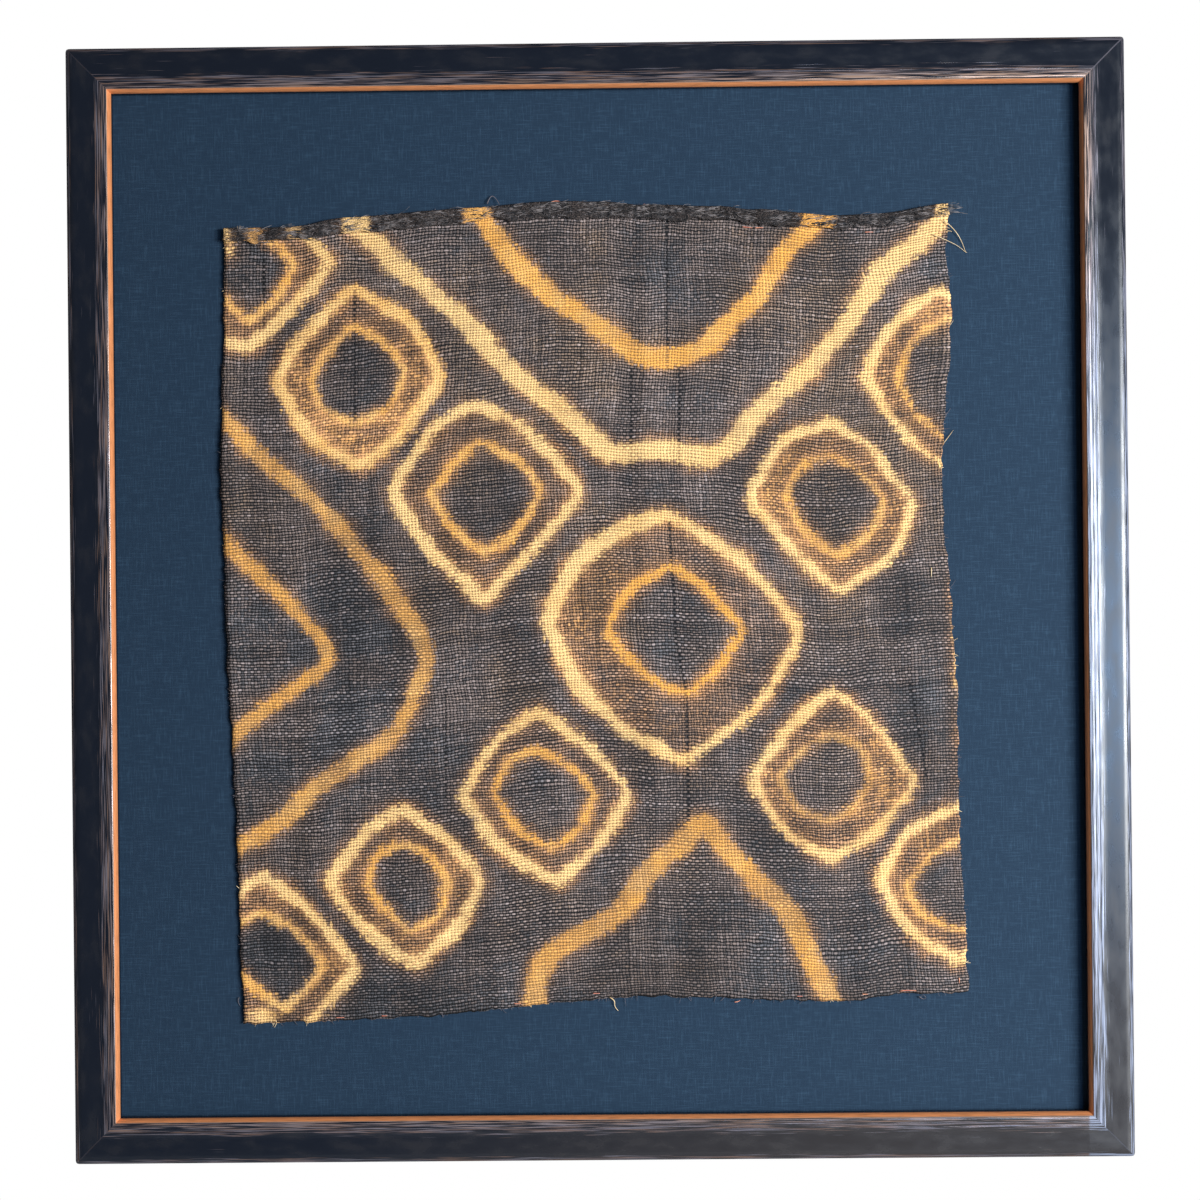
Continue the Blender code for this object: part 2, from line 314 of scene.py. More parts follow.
# Patches of dye that show on the hem's flap: left and right ends (mm), hue and strength
HemPatch = namedtuple("HemPatch", "x0 x1 hue strength")
HEM_PATCHES = (
    HemPatch(-269, -263, 0.1, 0.75),
    HemPatch(-251, -241, 0.7, 0.6),
    HemPatch(-222, -212, 0.25, 0.6),
    HemPatch(-181, -162, 0.05, 0.9),
    HemPatch(-94, -74, 0.7, 0.95),
    HemPatch(150, 172, 0.8, 0.95),
    HemPatch(244, 256, 0.1, 0.9),
)

# Small stains and dyed corners: middle (mm), half width and half height (mm), hue and strength
Stain = namedtuple("Stain", "name x z half_width half_height hue strength")
STAINS = (
    Stain("cream patch at the top left", -266, 256, 4, 5, 0.05, 0.9),
    Stain("tan bottom left corner", -247, -298, 11, 5, 0.2, 0.8),
    Stain("tan strip on the right edge", 257.5, -28, 1.2, 22, 0.3, 0.8),
    Stain("cream top right corner", 250, 277, 7, 6, 0.1, 0.8),
)

# Broad casts on the dark ground: middle, reach (mm), warmth from bluish at -1 to brown at 1, and how
# much lighter it is as a share
Cast = namedtuple("Cast", "x z reach warmth lighter")
CASTS = (
    Cast(-230, -20, 60, -0.5, -0.1), Cast(-200, -240, 50, -0.6, -0.2), Cast(-250, 240, 40, -0.5, -0.2),
    Cast(20, 240, 70, -0.1, 0.05), Cast(60, -20, 30, 0.0, 0.15), Cast(-60, -40, 60, -0.2, 0.1),
    Cast(-10, 10, 40, 0.7, 0.1), Cast(175, -5, 26, 0.5, 0.1), Cast(225, 5, 30, -0.7, -0.15),
    Cast(170, 120, 50, 0.7, 0.05), Cast(200, 20, 60, 0.2, -0.1), Cast(-30, 170, 60, 0.6, 0.05),
    Cast(150, 230, 50, 0.6, 0.05), Cast(60, -250, 60, 0.0, -0.25), Cast(-180, -60, 60, -0.4, 0.0),
    Cast(240, -80, 40, -0.7, -0.05), Cast(180, -80, 36, -0.3, -0.1), Cast(246, -215, 36, -0.4, -0.1),
    Cast(-90, 200, 40, 0.3, 0.0), Cast(-174, 160, 30, 0.1, 0.0), Cast(-120, -290, 60, -0.3, -0.3),
    Cast(40, -290, 60, 0.0, -0.25), Cast(200, -270, 50, 0.0, -0.15), Cast(-240, -260, 30, -0.2, -0.25),
    Cast(-82, 80, 30, 0.2, -0.15),
)

# Places where a lengthwise thread is missing, so that a dark line shows: both ends (mm), half width (mm)
Ladder = namedtuple("Ladder", "x0 z0 x1 z1 half_width strength")
LADDERS = (
    Ladder(-174.4, 231, -175.4, 130, 0.6, 0.8),
    Ladder(-240.0, 260, -240.6, 199, 0.6, 0.7),
    Ladder(52.0, 290, 50.8, 167, 0.7, 0.9),
    Ladder(59.5, 167, 58.8, 97, 0.7, 0.9),
    Ladder(51.2, 58, 55.5, -28, 0.7, 0.9),
    Ladder(55.5, -28, 63.0, -72, 0.7, 0.9),
    Ladder(63.0, -72, 62.9, -158, 0.7, 0.9),
    Ladder(24.8, 167, 24.1, 95, 0.6, 0.7),
    Ladder(-111.3, -61, -112.1, -142, 0.5, 0.6),
    Ladder(223.8, -62, 235.4, -131, 0.6, 0.8),
)

# Single paler crosswise threads: left and right ends and height (mm), and how much paler
PaleWeft = namedtuple("PaleWeft", "x0 x1 z strength")
PALE_WEFTS = (
    PaleWeft(20, 170, -11, 0.5), PaleWeft(150, 230, 97, 0.45), PaleWeft(160, 240, 90, 0.4),
    PaleWeft(-130, -20, 30, 0.3), PaleWeft(-170, -60, -66, 0.35), PaleWeft(60, 235, 205, 0.3),
    PaleWeft(-60, 120, 215, 0.3), PaleWeft(120, 255, 26, 0.35), PaleWeft(-250, -120, 132, 0.25),
)

# Loose threads and stitches: colour, radius (mm) and a few points, right, up and off the linen (mm)
Thread = namedtuple("Thread", "colour radius points")
LOOSE_THREADS = (
    Thread("pale", 0.35,
           ((251, 272, 3.2), (255, 269, 3.6), (261, 263, 2.0), (265, 256, 1.0), (267, 250, 0.6))),
    Thread("pale", 0.3,
           ((243, 262, 2.8), (246, 261, 3.0), (253, 258, 2.2), (262, 254, 1.2), (268, 249, 0.6))),
    Thread("pale", 0.25, ((250, 112, 2.2), (254, 117, 1.6), (257, 121, 0.7))),
    Thread("pale", 0.4, ((-259.6, -23, 2.2), (-259.8, -27, 2.6), (-259.6, -31, 2.2))),
    Thread("pale", 0.4, ((-260.4, -103, 2.2), (-260.6, -105, 2.6), (-260.4, -108, 2.2))),
    Thread("pale", 0.4, ((239.8, 22, 2.4), (240.0, 18, 2.9), (239.7, 15, 2.4))),
    Thread("pale", 0.45, ((5, -286, 2.0), (9, -288, 2.2), (8, -293, 1.2), (11, -296, 0.8))),
    Thread("dark", 0.45, ((-78, 288, 2.2), (-76, 294, 1.6), (-72, 293, 2.2), (-69, 287, 2.8))),
    Thread("dark", 0.35, ((-263, -284, 1.8), (-265, -287, 1.0), (-262, -291, 0.7))),
    Thread("dark", 0.35, ((228, -287, 2.0), (231, -290, 1.0), (234, -288, 1.6), (231, -286, 2.0))),
    Thread("coral", 0.4, ((-33, 288, 3.2), (-28, 290, 3.4), (-22, 287, 3.6), (-17, 286, 3.4))),
    Thread("coral", 0.4, ((35, 286, 3.6), (42, 284, 3.9), (48, 283, 3.6))),
    Thread("coral", 0.4, ((59, 283, 3.6), (65, 284, 3.9), (71, 284, 3.6))),
    Thread("coral", 0.4, ((106, 268.8, 4.2), (109, 268.6, 4.6), (113, 268, 4.2))),
    Thread("coral", 0.4, ((115, 268, 4.2), (118, 268, 4.6), (121, 268, 4.2))),
    Thread("coral", 0.4, ((194, 264, 4.2), (197, 264, 4.6), (200, 264, 4.2))),
    Thread("coral", 0.4, ((-193, -299, 2.0), (-190, -299, 2.5), (-187, -299, 2.0))),
    Thread("coral", 0.4, ((-160, -298, 2.0), (-158, -298, 2.5), (-156, -298, 2.0))),
    Thread("coral", 0.4, ((-64, -290, 2.0), (-62, -290, 2.5), (-59, -290, 2.0))),
    Thread("coral", 0.4, ((-7, -283, 2.2), (-5, -283, 2.7), (-2, -283, 2.2))),
    Thread("coral", 0.4, ((95, -290, 2.4), (97, -290, 2.9), (99, -289, 2.4))),
    Thread("coral", 0.4, ((140, -286, 3.2), (142, -286, 3.6), (144, -286, 3.2))),
    Thread("coral", 0.4, ((187, -285, 3.0), (189, -285, 3.5), (191, -285, 3.0))),
    Thread("coral", 0.45, ((214, -283, 2.8), (220, -282, 3.4), (226, -283, 2.8))),
    Thread("coral", 0.4, ((257, -274, 2.2), (257, -276, 2.6), (257, -278, 2.2))),
)

# Frayed thread ends along the three raw edges and the hem: how many, and the mean (mm) of the random
# length, up to the longest, that each has on top of the shortest. Each starts inside the cloth, as deep as
# its root (mm). The ends of long ones droop to a height in front of the object's back, and none goes lower
# than the linen allows (mm).
Fray = namedtuple("Fray", "edge count length")
FRAYS = (Fray("left", 30, 0.6), Fray("right", 80, 0.9), Fray("bottom", 80, 1.2), Fray("top", 24, 1.2))
FRAY_SHORTEST = 0.8
FRAY_LONGEST = 9.0
FRAY_ROOT = 1.5
FRAY_DROOP_HEIGHT = 12.4
FRAY_LOWEST = 12.0
HEM_ROLL_FIBRES = 700
# The near-black ragged ends below the hem also paint the hem's shadow on the cloth
HEM_FRINGE_AND_SHADE_FIBRES = 700

# Two shades of each kind of thread, which its material mixes
THREAD_SHADES = {
    "pale": ((0.62, 0.42, 0.2), (0.8, 0.6, 0.34)),
    "dark": ((0.045, 0.038, 0.04), (0.12, 0.1, 0.11)),
    "coral": ((0.55, 0.16, 0.1), (0.72, 0.3, 0.16)),
    "hem": ((0.004, 0.004, 0.006), (0.22, 0.185, 0.17)),
}

# The stage: the lamps' places and colours, the sky lamp's size, the room's colours, the floor's half sizes
# and middle, and the camera's place beside and above the object's middle (m) and its yaw, pitch and roll
# (degrees)
WINDOW_PLACE = (2.3, -2.4, -0.05)
WINDOW_COLOUR = (0.9, 0.95, 1.0)
SKY_PLACE = (1.14, -2.6, -0.1)
SKY_COLOUR = (0.38, 0.62, 1.0)
SKY_SIZE = (0.45, 0.8)
ROOM_COLOUR = (0.12, 0.125, 0.135, 1.0)
PAPER_COLOUR = (1.0, 1.0, 1.0, 1.0)
FLOOR_HALF_SIZE = (1.6, 0.52, 1)
FLOOR_MIDDLE_Y = -0.1
CAMERA_SHIFT = (0.0084, -0.0007)
CAMERA_TURN = (0.364, 0.075, 0.557)

NOISE_TABLE_SIZE = 256


# Property groups


def colour_property(name, description, default):
    return bpy.props.FloatVectorProperty(
        name=name, description=description, default=default, subtype="COLOR", size=3, min=0.0, max=1.0
    )


def length_property(name, description, default):
    return bpy.props.FloatProperty(
        name=name, description=description, default=default, min=0.0, unit="LENGTH", subtype="DISTANCE"
    )


def share_property(name, description, default):
    return bpy.props.FloatProperty(
        name=name, description=description, default=default, min=0.0, max=1.0, subtype="FACTOR"
    )


class RailLooks(bpy.types.PropertyGroup):
    """Finish of the mitred rails."""

    paint: colour_property("Paint", "Dark satin paint of the moulding", (0.004, 0.006, 0.011))
    rubbed: colour_property("Rubbed", "Lavender grey where the paint is combed thin", (0.165, 0.148, 0.17))
    brown: colour_property("Brown", "Brown wood that shows through the combed paint", (0.2, 0.115, 0.08))
    # Painted reflection: the window's bluish glare, mixed into the right rail's rubbed colour
    painted_window_glare: colour_property("Painted window glare", "Bluish glare of the window, painted on the right rail", (0.22, 0.25, 0.33))
    haze_and_room_reflection: colour_property("Haze and room reflection", "Brown haze in the paint, and the room's painted reflection towards the lower right", (0.045, 0.036, 0.03))
    copper: colour_property("Copper", "Copper colour of the lip", (0.7, 0.25, 0.09))
    lip_wear_and_highlight: colour_property("Lip wear and highlight", "Paler line along the lip's edge, worn copper with a painted highlight", (0.8, 0.5, 0.33))
    bare_wood: colour_property("Bare wood", "Unpainted back of the rails", (0.42, 0.28, 0.16))
    wear: share_property("Wear", "How much of the paint is rubbed off the reeds", 0.5)


class LinenLooks(bpy.types.PropertyGroup):
    """Finish of the linen mount and the board that carries it."""

    linen: colour_property("Linen", "Blue of the linen's threads", (0.0122, 0.029, 0.052))
    slub: colour_property("Slub", "Paler blue of the linen's thick threads", (0.033, 0.067, 0.105))
    board: colour_property("Board", "Fibreboard that shows at the back", (0.5, 0.36, 0.22))
    pitch: length_property("Thread pitch", "Distance between the linen's threads", 0.5 * MM)


class ClothLooks(bpy.types.PropertyGroup):
    """Sizes and dyes of the raffia cloth."""

    thickness: length_property("Thickness", "Thickness of the woven raffia", 0.8 * MM)
    warp_pitch: length_property("Warp pitch", "Distance between the lengthwise threads", 2.3 * MM)
    weft_pitch: length_property("Weft pitch", "Distance between the crosswise threads", 2.12 * MM)
    hem_depth: length_property("Hem depth", "Depth of the hem folded to the front", 9 * MM)
    ground: colour_property("Ground", "Charcoal of the dyed ground", (0.245, 0.178, 0.15))
    ground_warm: colour_property("Warm ground", "Brown cast on the ground", (0.315, 0.207, 0.142))
    ground_pale: colour_property("Pale ground", "Grey of the least dyed threads", (0.31, 0.25, 0.235))
    ground_blue: colour_property("Blue ground", "Bluish cast on the ground", (0.155, 0.143, 0.145))
    gap: colour_property("Gap", "Shade between the threads", (0.004, 0.0035, 0.005))
    dyed_gap: colour_property("Dyed gap", "Shade between the dyed lines' threads", (0.2, 0.1, 0.035))
    haze: colour_property("Haze", "Tan stain between the rings", (0.6, 0.27, 0.09))
    strong_haze: colour_property("Strong haze", "Stain where the dye ran most", (0.8, 0.385, 0.13))
    fringe: colour_property("Fringe", "Brown where the dye ran out of a ring", (0.72, 0.34, 0.14))
    cream: colour_property("Cream", "Undyed raffia", (1.0, 0.61, 0.24))
    orange: colour_property("Orange", "Raffia under the second dye", (0.9, 0.4, 0.075))


class StageLooks(bpy.types.PropertyGroup):
    """Floor, light and camera of the studio."""

    floor: colour_property("Floor", "Pale studio floor", (0.8, 0.8, 0.79))
    floor_drop: length_property("Floor drop", "How far the floor is below the object's middle", 0.62)
    window_width: length_property("Window width", "Width of the soft light", 1.4)
    window_height: length_property("Window height", "Height of the soft light", 1.0)
    sky_power: bpy.props.FloatProperty(
        name="Sky power", description="Power of the blue sky light beside the window", default=22.0, min=0.0
    )
    window_power: bpy.props.FloatProperty(
        name="Window power", description="Power of the soft light from the right", default=226.0, min=0.0
    )
    camera_distance: length_property("Camera distance", "From the camera to the wall's plane", 1.2169)
    lens: bpy.props.FloatProperty(name="Lens", description="Focal length in mm", default=50.0, min=1.0)


# Shader helpers


class Shade:
    """A number or colour in a material, so that sums on it add the nodes that work them out."""

    def __init__(self, graph, socket):
        self.graph = graph
        self.socket = socket

    def __add__(self, other):
        return self.graph.math("ADD", self, other)

    def __radd__(self, other):
        return self.graph.math("ADD", other, self)

    def __sub__(self, other):
        return self.graph.math("SUBTRACT", self, other)

    def __rsub__(self, other):
        return self.graph.math("SUBTRACT", other, self)

    def __mul__(self, other):
        return self.graph.math("MULTIPLY", self, other)

    def __rmul__(self, other):
        return self.graph.math("MULTIPLY", other, self)

    def __truediv__(self, other):
        return self.graph.math("DIVIDE", self, other)


class Graph:
    """The nodes of one material."""

    MIX_FACTOR = 0
    MIX_COLOURS = (6, 7)
    MIX_RESULT = 2

    def __init__(self, name):
        self.material = bpy.data.materials.new(name)
        self.material.use_nodes = True
        self.nodes = self.material.node_tree.nodes
        self.links = self.material.node_tree.links
        self.surface = self.nodes["Principled BSDF"]

    def node(self, kind, settings=None, inputs=None):
        """Adds any node: its type, then its settings, then the values or links of its sockets."""
        made = self.nodes.new(kind)
        for name, value in (settings or {}).items():
            setattr(made, name, value)
        for key, value in (inputs or {}).items():
            self.feed(made.inputs[key], value)
        return made

    def feed(self, socket, value):
        if isinstance(value, Shade):
            self.links.new(value.socket, socket)
        else:
            socket.default_value = value

    def output(self, node, key=0):
        return Shade(self, node.outputs[key])

    def math(self, operation, *values):
        return self.output(self.node("ShaderNodeMath", {"operation": operation}, dict(enumerate(values))))

    def smooth(self, value, low, high):
        """0 below low and 1 above high, with a soft step between."""
        settings = {"interpolation_type": "SMOOTHSTEP"}
        inputs = {"Value": value, "From Min": low, "From Max": high}
        return self.output(self.node("ShaderNodeMapRange", settings, inputs))

    def mix(self, share, first, second, blend="MIX"):
        """Mixes two colours."""
        settings = {"data_type": "RGBA", "blend_type": blend}
        low, high = self.MIX_COLOURS
        inputs = {self.MIX_FACTOR: share, low: rgba(first), high: rgba(second)}
        return self.output(self.node("ShaderNodeMix", settings, inputs), self.MIX_RESULT)

    def vector(self, x, y, z=0.0):
        return self.output(self.node("ShaderNodeCombineXYZ", inputs={"X": x, "Y": y, "Z": z}))

    def parts(self, vector):
        split = self.node("ShaderNodeSeparateXYZ", inputs={"Vector": vector})
        return [self.output(split, axis) for axis in ("X", "Y", "Z")]

    def place(self):
        """Where the surface is, right, back and up, in millimetres."""
        coordinates = self.node("ShaderNodeTexCoord")
        x, y, z = self.parts(self.output(coordinates, "Object"))
        return x / MM, y / MM, z / MM

    def uv(self, name):
        flat = self.node("ShaderNodeUVMap", {"uv_map": name})
        return self.parts(self.output(flat))[:2]

    def attribute(self, name):
        found = self.node("ShaderNodeAttribute", {"attribute_name": name})
        return self.output(found, "Fac")

    def noise(self, x, y, z=0.0, detail=2.0, roughness=0.5):
        """Soft noise from 0 to 1, with one bump for each unit of its coordinates."""
        inputs = {"Vector": self.vector(x, y, z), "Scale": 1.0, "Detail": detail, "Roughness": roughness}
        return self.output(self.node("ShaderNodeTexNoise", {"noise_dimensions": "3D"}, inputs))

    def sway(self, x, y, z):
        """Soft noise from -0.5 to 0.5."""
        return self.noise(x, y, z) - 0.5

    def random(self, x, y):
        """A random number from 0 to 1 for each pair of whole numbers."""
        settings = {"noise_dimensions": "2D"}
        return self.output(self.node("ShaderNodeTexWhiteNoise", settings, {"Vector": self.vector(x, y)}))

    def bump(self, height, distance, strength):
        inputs = {"Height": height, "Distance": distance, "Strength": strength}
        return self.output(self.node("ShaderNodeBump", inputs=inputs))

    def finish(self, colour, roughness, **others):
        """Feeds the surface shader and returns the material."""
        self.feed(self.surface.inputs["Base Color"], rgba(colour))
        self.feed(self.surface.inputs["Roughness"], roughness)
        for name, value in others.items():
            self.feed(self.surface.inputs[name.replace("_", " ")], value)
        return self.material


def rgba(colour):
    """A colour as its socket takes it: a link stays a link, and three numbers get an alpha of 1."""
    if isinstance(colour, Shade):
        return colour
    return (*colour[:3], 1.0)


def dimmed(colour, share):
    """A share of a colour's brightness."""
    return tuple(channel * share for channel in colour)


# Mesh helpers


def mesh_from(name, bm):
    mesh = bpy.data.meshes.new(name)
    bm.to_mesh(mesh)
    bm.free()
    return mesh


def linked(name, data):
    """A new object in the scene, at the origin."""
    made = bpy.data.objects.new(name, data)
    bpy.context.scene.collection.objects.link(made)
    return made


def finished_mesh(draft):
    """The mesh that a draft object's modifiers or curve make. The draft is removed."""
    graph = bpy.context.evaluated_depsgraph_get()
    mesh = bpy.data.meshes.new_from_object(draft.evaluated_get(graph))
    bpy.data.objects.remove(draft)
    return mesh


def add_piece(name, mesh, materials):
    """Makes a mesh a piece at the origin that rides on the object's body."""
    mesh.materials.clear()
    for material in materials:
        mesh.materials.append(material)
    piece = linked(name, mesh)
    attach(piece, BODY)
    return piece


def value_noise(x, z, cell, seed):
    """Smooth random heights from -1 to 1 at points in mm, with one new value for each cell."""
    table = np.random.default_rng(seed).uniform(-1, 1, (NOISE_TABLE_SIZE, NOISE_TABLE_SIZE))
    column, row = np.floor(x / cell).astype(int), np.floor(z / cell).astype(int)
    share_x, share_z = x / cell - column, z / cell - row
    share_x = share_x * share_x * (3 - 2 * share_x)
    share_z = share_z * share_z * (3 - 2 * share_z)

    def at(column, row):
        return table[column % NOISE_TABLE_SIZE, row % NOISE_TABLE_SIZE]

    low = at(column, row) * (1 - share_x) + at(column + 1, row) * share_x
    high = at(column, row + 1) * (1 - share_x) + at(column + 1, row + 1) * share_x
    return low * (1 - share_z) + high * share_z


# Mitred rails


def moulding_points():
    """The section as rows of across, height, stretch number and length along the section, in metres."""
    points = [(Vector((0.0, 0.0)), 0.0, 0.0)]
    for number, stretch in enumerate(MOULDING):
        start, _, length = points[-1]
        end = Vector((stretch.across, stretch.height)) * MM
        run = end - start
        outward = Vector((-run.y, run.x)).normalized()
        for piece in range(1, stretch.pieces + 1):
            share = piece / stretch.pieces
            swell = 4 * share * (1 - share) * stretch.bulge * MM
            corner = start + run * share + outward * swell
            length += (corner - points[-1][0]).length
            points.append((corner, number + share, length))
    return points


def cut_off(bm, point, normal):
    """Removes what lies beyond a plane and closes the cut."""
    geometry = bm.verts[:] + bm.edges[:] + bm.faces[:]
    bmesh.ops.bisect_plane(bm, geom=geometry, plane_co=point, plane_no=normal, clear_outer=True)
    bmesh.ops.holes_fill(bm, edges=[edge for edge in bm.edges if edge.is_boundary], sides=0)


def rail_bmesh(length, seed):
    """One mitred rail along X, with its outer face at z = 0, its back at y = 0 and the middle below."""
    bm = bmesh.new()
    stretch_layer = bm.verts.layers.float.new("stretch")
    path_layer = bm.verts.layers.float.new("path")
    mitre_layer = bm.verts.layers.float.new("mitre")
    corners = []
    for point, stretch, path in moulding_points()[:-1]:
        corner = bm.verts.new((-1, -point.y, -point.x))
        corner[stretch_layer] = stretch
        corner[path_layer] = path / MM
        corners.append(corner)
    end = bm.faces.new(corners)
    extruded = bmesh.ops.extrude_face_region(bm, geom=[end])["geom"]
    far = [item for item in extruded if isinstance(item, bmesh.types.BMVert)]
    bmesh.ops.translate(bm, vec=(2, 0, 0), verts=far)
    long_edges = [edge for edge in bm.edges if abs(edge.verts[0].co.x - edge.verts[1].co.x) > 1]
    bmesh.ops.subdivide_edges(bm, edges=long_edges, cuts=RAIL_STATIONS, use_grid_fill=True)
    mitre_gap = VISUAL_MITRE_GAP / math.sqrt(2)
    for vertex in bm.verts:
        vertex[mitre_layer] = (1 - abs(vertex.co.x)) * (length / 2 + vertex.co.z) / MM
        vertex.co.x *= length / 2 + vertex.co.z - mitre_gap
    add_comb_waves(bm, stretch_layer, seed)
    for side in (-1, 1):
        round_centre = Vector((side * (length / 2 - CORNER_RADIUS), 0, -CORNER_RADIUS))
        for cut in range(1, CORNER_CUTS + 1):
            angle = math.radians(45) * cut / CORNER_CUTS
            normal = Vector((side * math.sin(angle), 0, math.cos(angle)))
            cut_off(bm, round_centre + normal * CORNER_RADIUS, normal)
    bmesh.ops.recalc_face_normals(bm, faces=bm.faces)
    return bm


def add_comb_waves(bm, stretch_layer, seed):
    """Makes the hand-combed reeds slightly uneven along the rail."""
    reeds = [vertex for vertex in bm.verts if REEDS_START < vertex[stretch_layer] < REEDS_END]
    along = np.array([vertex.co.x for vertex in reeds]) / MM
    across = np.array([vertex.co.z for vertex in reeds]) / MM
    waves = value_noise(along, across * 4, 9, seed) * COMB_WAVE
    for vertex, wave in zip(reeds, waves):
        vertex.co.y += wave * MM


def make_rail(name, length, place, turn, seed, materials):
    bm = rail_bmesh(length, seed)
    bm.normal_update()
    for face in bm.faces:
        face.material_index = 1 if face.normal.y > 0.9 else 0
    mesh = mesh_from(name + "_rubbed", bm)
    flat = mesh.uv_layers.new(name="rail")
    path = mesh.attributes["path"].data
    for loop in mesh.loops:
        along = mesh.vertices[loop.vertex_index].co.x / MM + seed * STREAK_STEP
        flat.data[loop.index].uv = (along, path[loop.vertex_index].value)
    mesh.transform(Matrix.Translation(place) @ Matrix.Rotation(math.radians(turn), 4, "Y"))
    mesh.shade_smooth()
    mesh.set_sharp_from_angle(angle=RAIL_SHARP_ANGLE)
    rail = add_piece(name + "_rubbed", mesh, materials)
    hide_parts(name)


def rail_material(looks):
    graph = Graph("rubbed_dark_paint")
    along, path = graph.uv("rail")
    stretch = graph.attribute("stretch")
    x, _, z = graph.place()
    sway = graph.noise(along / 60, path / 12, 1.0) * 1.5 + graph.noise(along / 11, path / 4, 2.0) * 0.25
    lines = graph.noise(along / 45, (path + sway) * 1.25, 3.0, detail=2.0, roughness=0.6)
    hairlines = graph.noise(along / 30, (path + sway) * 3.2, 4.0, detail=1.0)
    patches = graph.noise(along / 60, path / 14, 5.0)
    reeds = graph.smooth(stretch, 2.5, 3.3) * graph.smooth(stretch, 6.8, 6.65)
    shoulder = graph.smooth(stretch, 0.85, 1.05) * graph.smooth(stretch, 2.0, 1.3)
    # Painted reflection of the window: the whole right rail is less brown, and below its top its reeds get
    # more rubbed lines and a pale bluish colour
    right_rail = graph.smooth(x, 346, 348)
    painted_glare_area = right_rail * graph.smooth(z, 330, 120)
    cover = lines + (hairlines - 0.5) * 0.5 + (patches - 0.5) * 0.2 + reeds * 0.285 + shoulder * 0.29
    cover = cover + reeds * painted_glare_area * 0.04
    limit = 0.86 - 0.2 * looks.wear
    wear_and_painted_glints = graph.smooth(cover, limit, limit + 0.12)
    # Painted highlight: a pale line down each mitre, strongest at the top right corner where the mitre's
    # edge would catch the light from the right
    mitre = graph.smooth(graph.attribute("mitre"), 0.7, 0.3) * graph.smooth(stretch, 6.4, 6.3)
    wear_and_painted_glints = graph.math("MAXIMUM", wear_and_painted_glints, mitre * (graph.smooth(x + z, 400, 700) * 0.45 + 0.1))
    warm = graph.noise(along / 70, path / 1.5, 6.0)
    browned = graph.smooth(warm, 0.4, 0.65) * (1 - right_rail * 0.8)
    rubbed = graph.mix(browned, looks.rubbed, looks.brown)
    # The reeds near the lip take the lip edge's pale colour, more towards the top right corner
    near_lip = graph.smooth(stretch, 3.2, 6.4) * (graph.smooth(x + z, 380, 640) * 0.5 + 0.12)
    rubbed = graph.mix(near_lip, rubbed, looks.lip_wear_and_highlight)
    # Painted window glare on the lower right rail
    rubbed = graph.mix(painted_glare_area * 0.75, rubbed, looks.painted_window_glare)
    clouds = graph.noise(along / 22, path / 10, 7.0, detail=3.0)
    # Painted reflection of the room: the dark paint turns brown towards the lower right; the clouds in the
    # haze are the paint's own uneven tone
    haze_and_room_reflection = graph.smooth(x * 0.5 - z, 260, 500) * 0.5 + graph.smooth(clouds, 0.45, 0.75) * 0.12
    paint = graph.mix(graph.math("MINIMUM", haze_and_room_reflection, 1.0), looks.paint, looks.haze_and_room_reflection)
    colour = graph.mix(wear_and_painted_glints, paint, rubbed)
    # The lip's edge: a pale line, partly worn copper and partly a painted highlight where the rounded edge
    # would catch the light
    lip_edge = graph.smooth(stretch, 6.65, 6.8) * graph.smooth(stretch, 7.1, 6.9)
    lip = graph.smooth(stretch, 6.9, 7.1) * graph.smooth(stretch, 8.1, 7.9)
    scuffs = graph.noise(along / 12, path * 1.2, 8.0, detail=3.0)
    copper = graph.mix(graph.smooth(scuffs, 0.4, 0.75), looks.copper, dimmed(looks.copper, 0.62))
    colour = graph.mix(lip_edge, colour, looks.lip_wear_and_highlight)
    colour = graph.mix(lip, colour, copper)
    shine = 0.2 + wear_and_painted_glints * 0.06 + graph.smooth(clouds, 0.3, 0.75) * 0.1 + lip * 0.15 + painted_glare_area * 0.06
    metal = wear_and_painted_glints * (0.45 - painted_glare_area * 0.3) + lip * 0.3 + lip_edge * 0.25
    normal = graph.bump(wear_and_painted_glints * -0.2 + lines * (reeds + shoulder) * 0.7, 0.2 * MM, 0.6)
    return graph.finish(colour, shine, Metallic=metal, Normal=normal)


def bare_wood_material(looks):
    graph = Graph("bare_rail_wood")
    along, path = graph.uv("rail")
    grain = graph.noise(along / 60, path * 1.4, 0.0, detail=4.0, roughness=0.6)
    pores = graph.noise(along / 8, path * 4, 1.0, detail=2.0)
    colour = graph.mix(graph.smooth(grain, 0.35, 0.7), looks.bare_wood, dimmed(looks.bare_wood, 0.6))
    colour = graph.mix(graph.smooth(pores, 0.62, 0.72) * 0.5, colour, (0.16, 0.09, 0.05))
    normal = graph.bump(grain + pores * 0.5, 0.2 * MM, 0.5)
    return graph.finish(colour, 0.62 + grain * 0.15, Normal=normal)


# Board and linen


def board_material(looks):
    graph = Graph("pale_fibreboard")
    x, y, z = graph.place()
    cloud = graph.noise(x / 60, y / 60, z / 60, detail=3.0)
    flecks = graph.noise(x * 1.2, y * 1.2, z / 2, detail=3.0, roughness=0.7)
    colour = graph.mix(graph.smooth(cloud, 0.35, 0.7) * 0.6, looks.board, dimmed(looks.board, 0.7))
    colour = graph.mix(graph.smooth(flecks, 0.58, 0.7) * 0.55, colour, (0.2, 0.12, 0.06))
    normal = graph.bump(flecks, 0.15 * MM, 0.6)
    return graph.finish(colour, 0.78 + cloud * 0.1, Normal=normal)


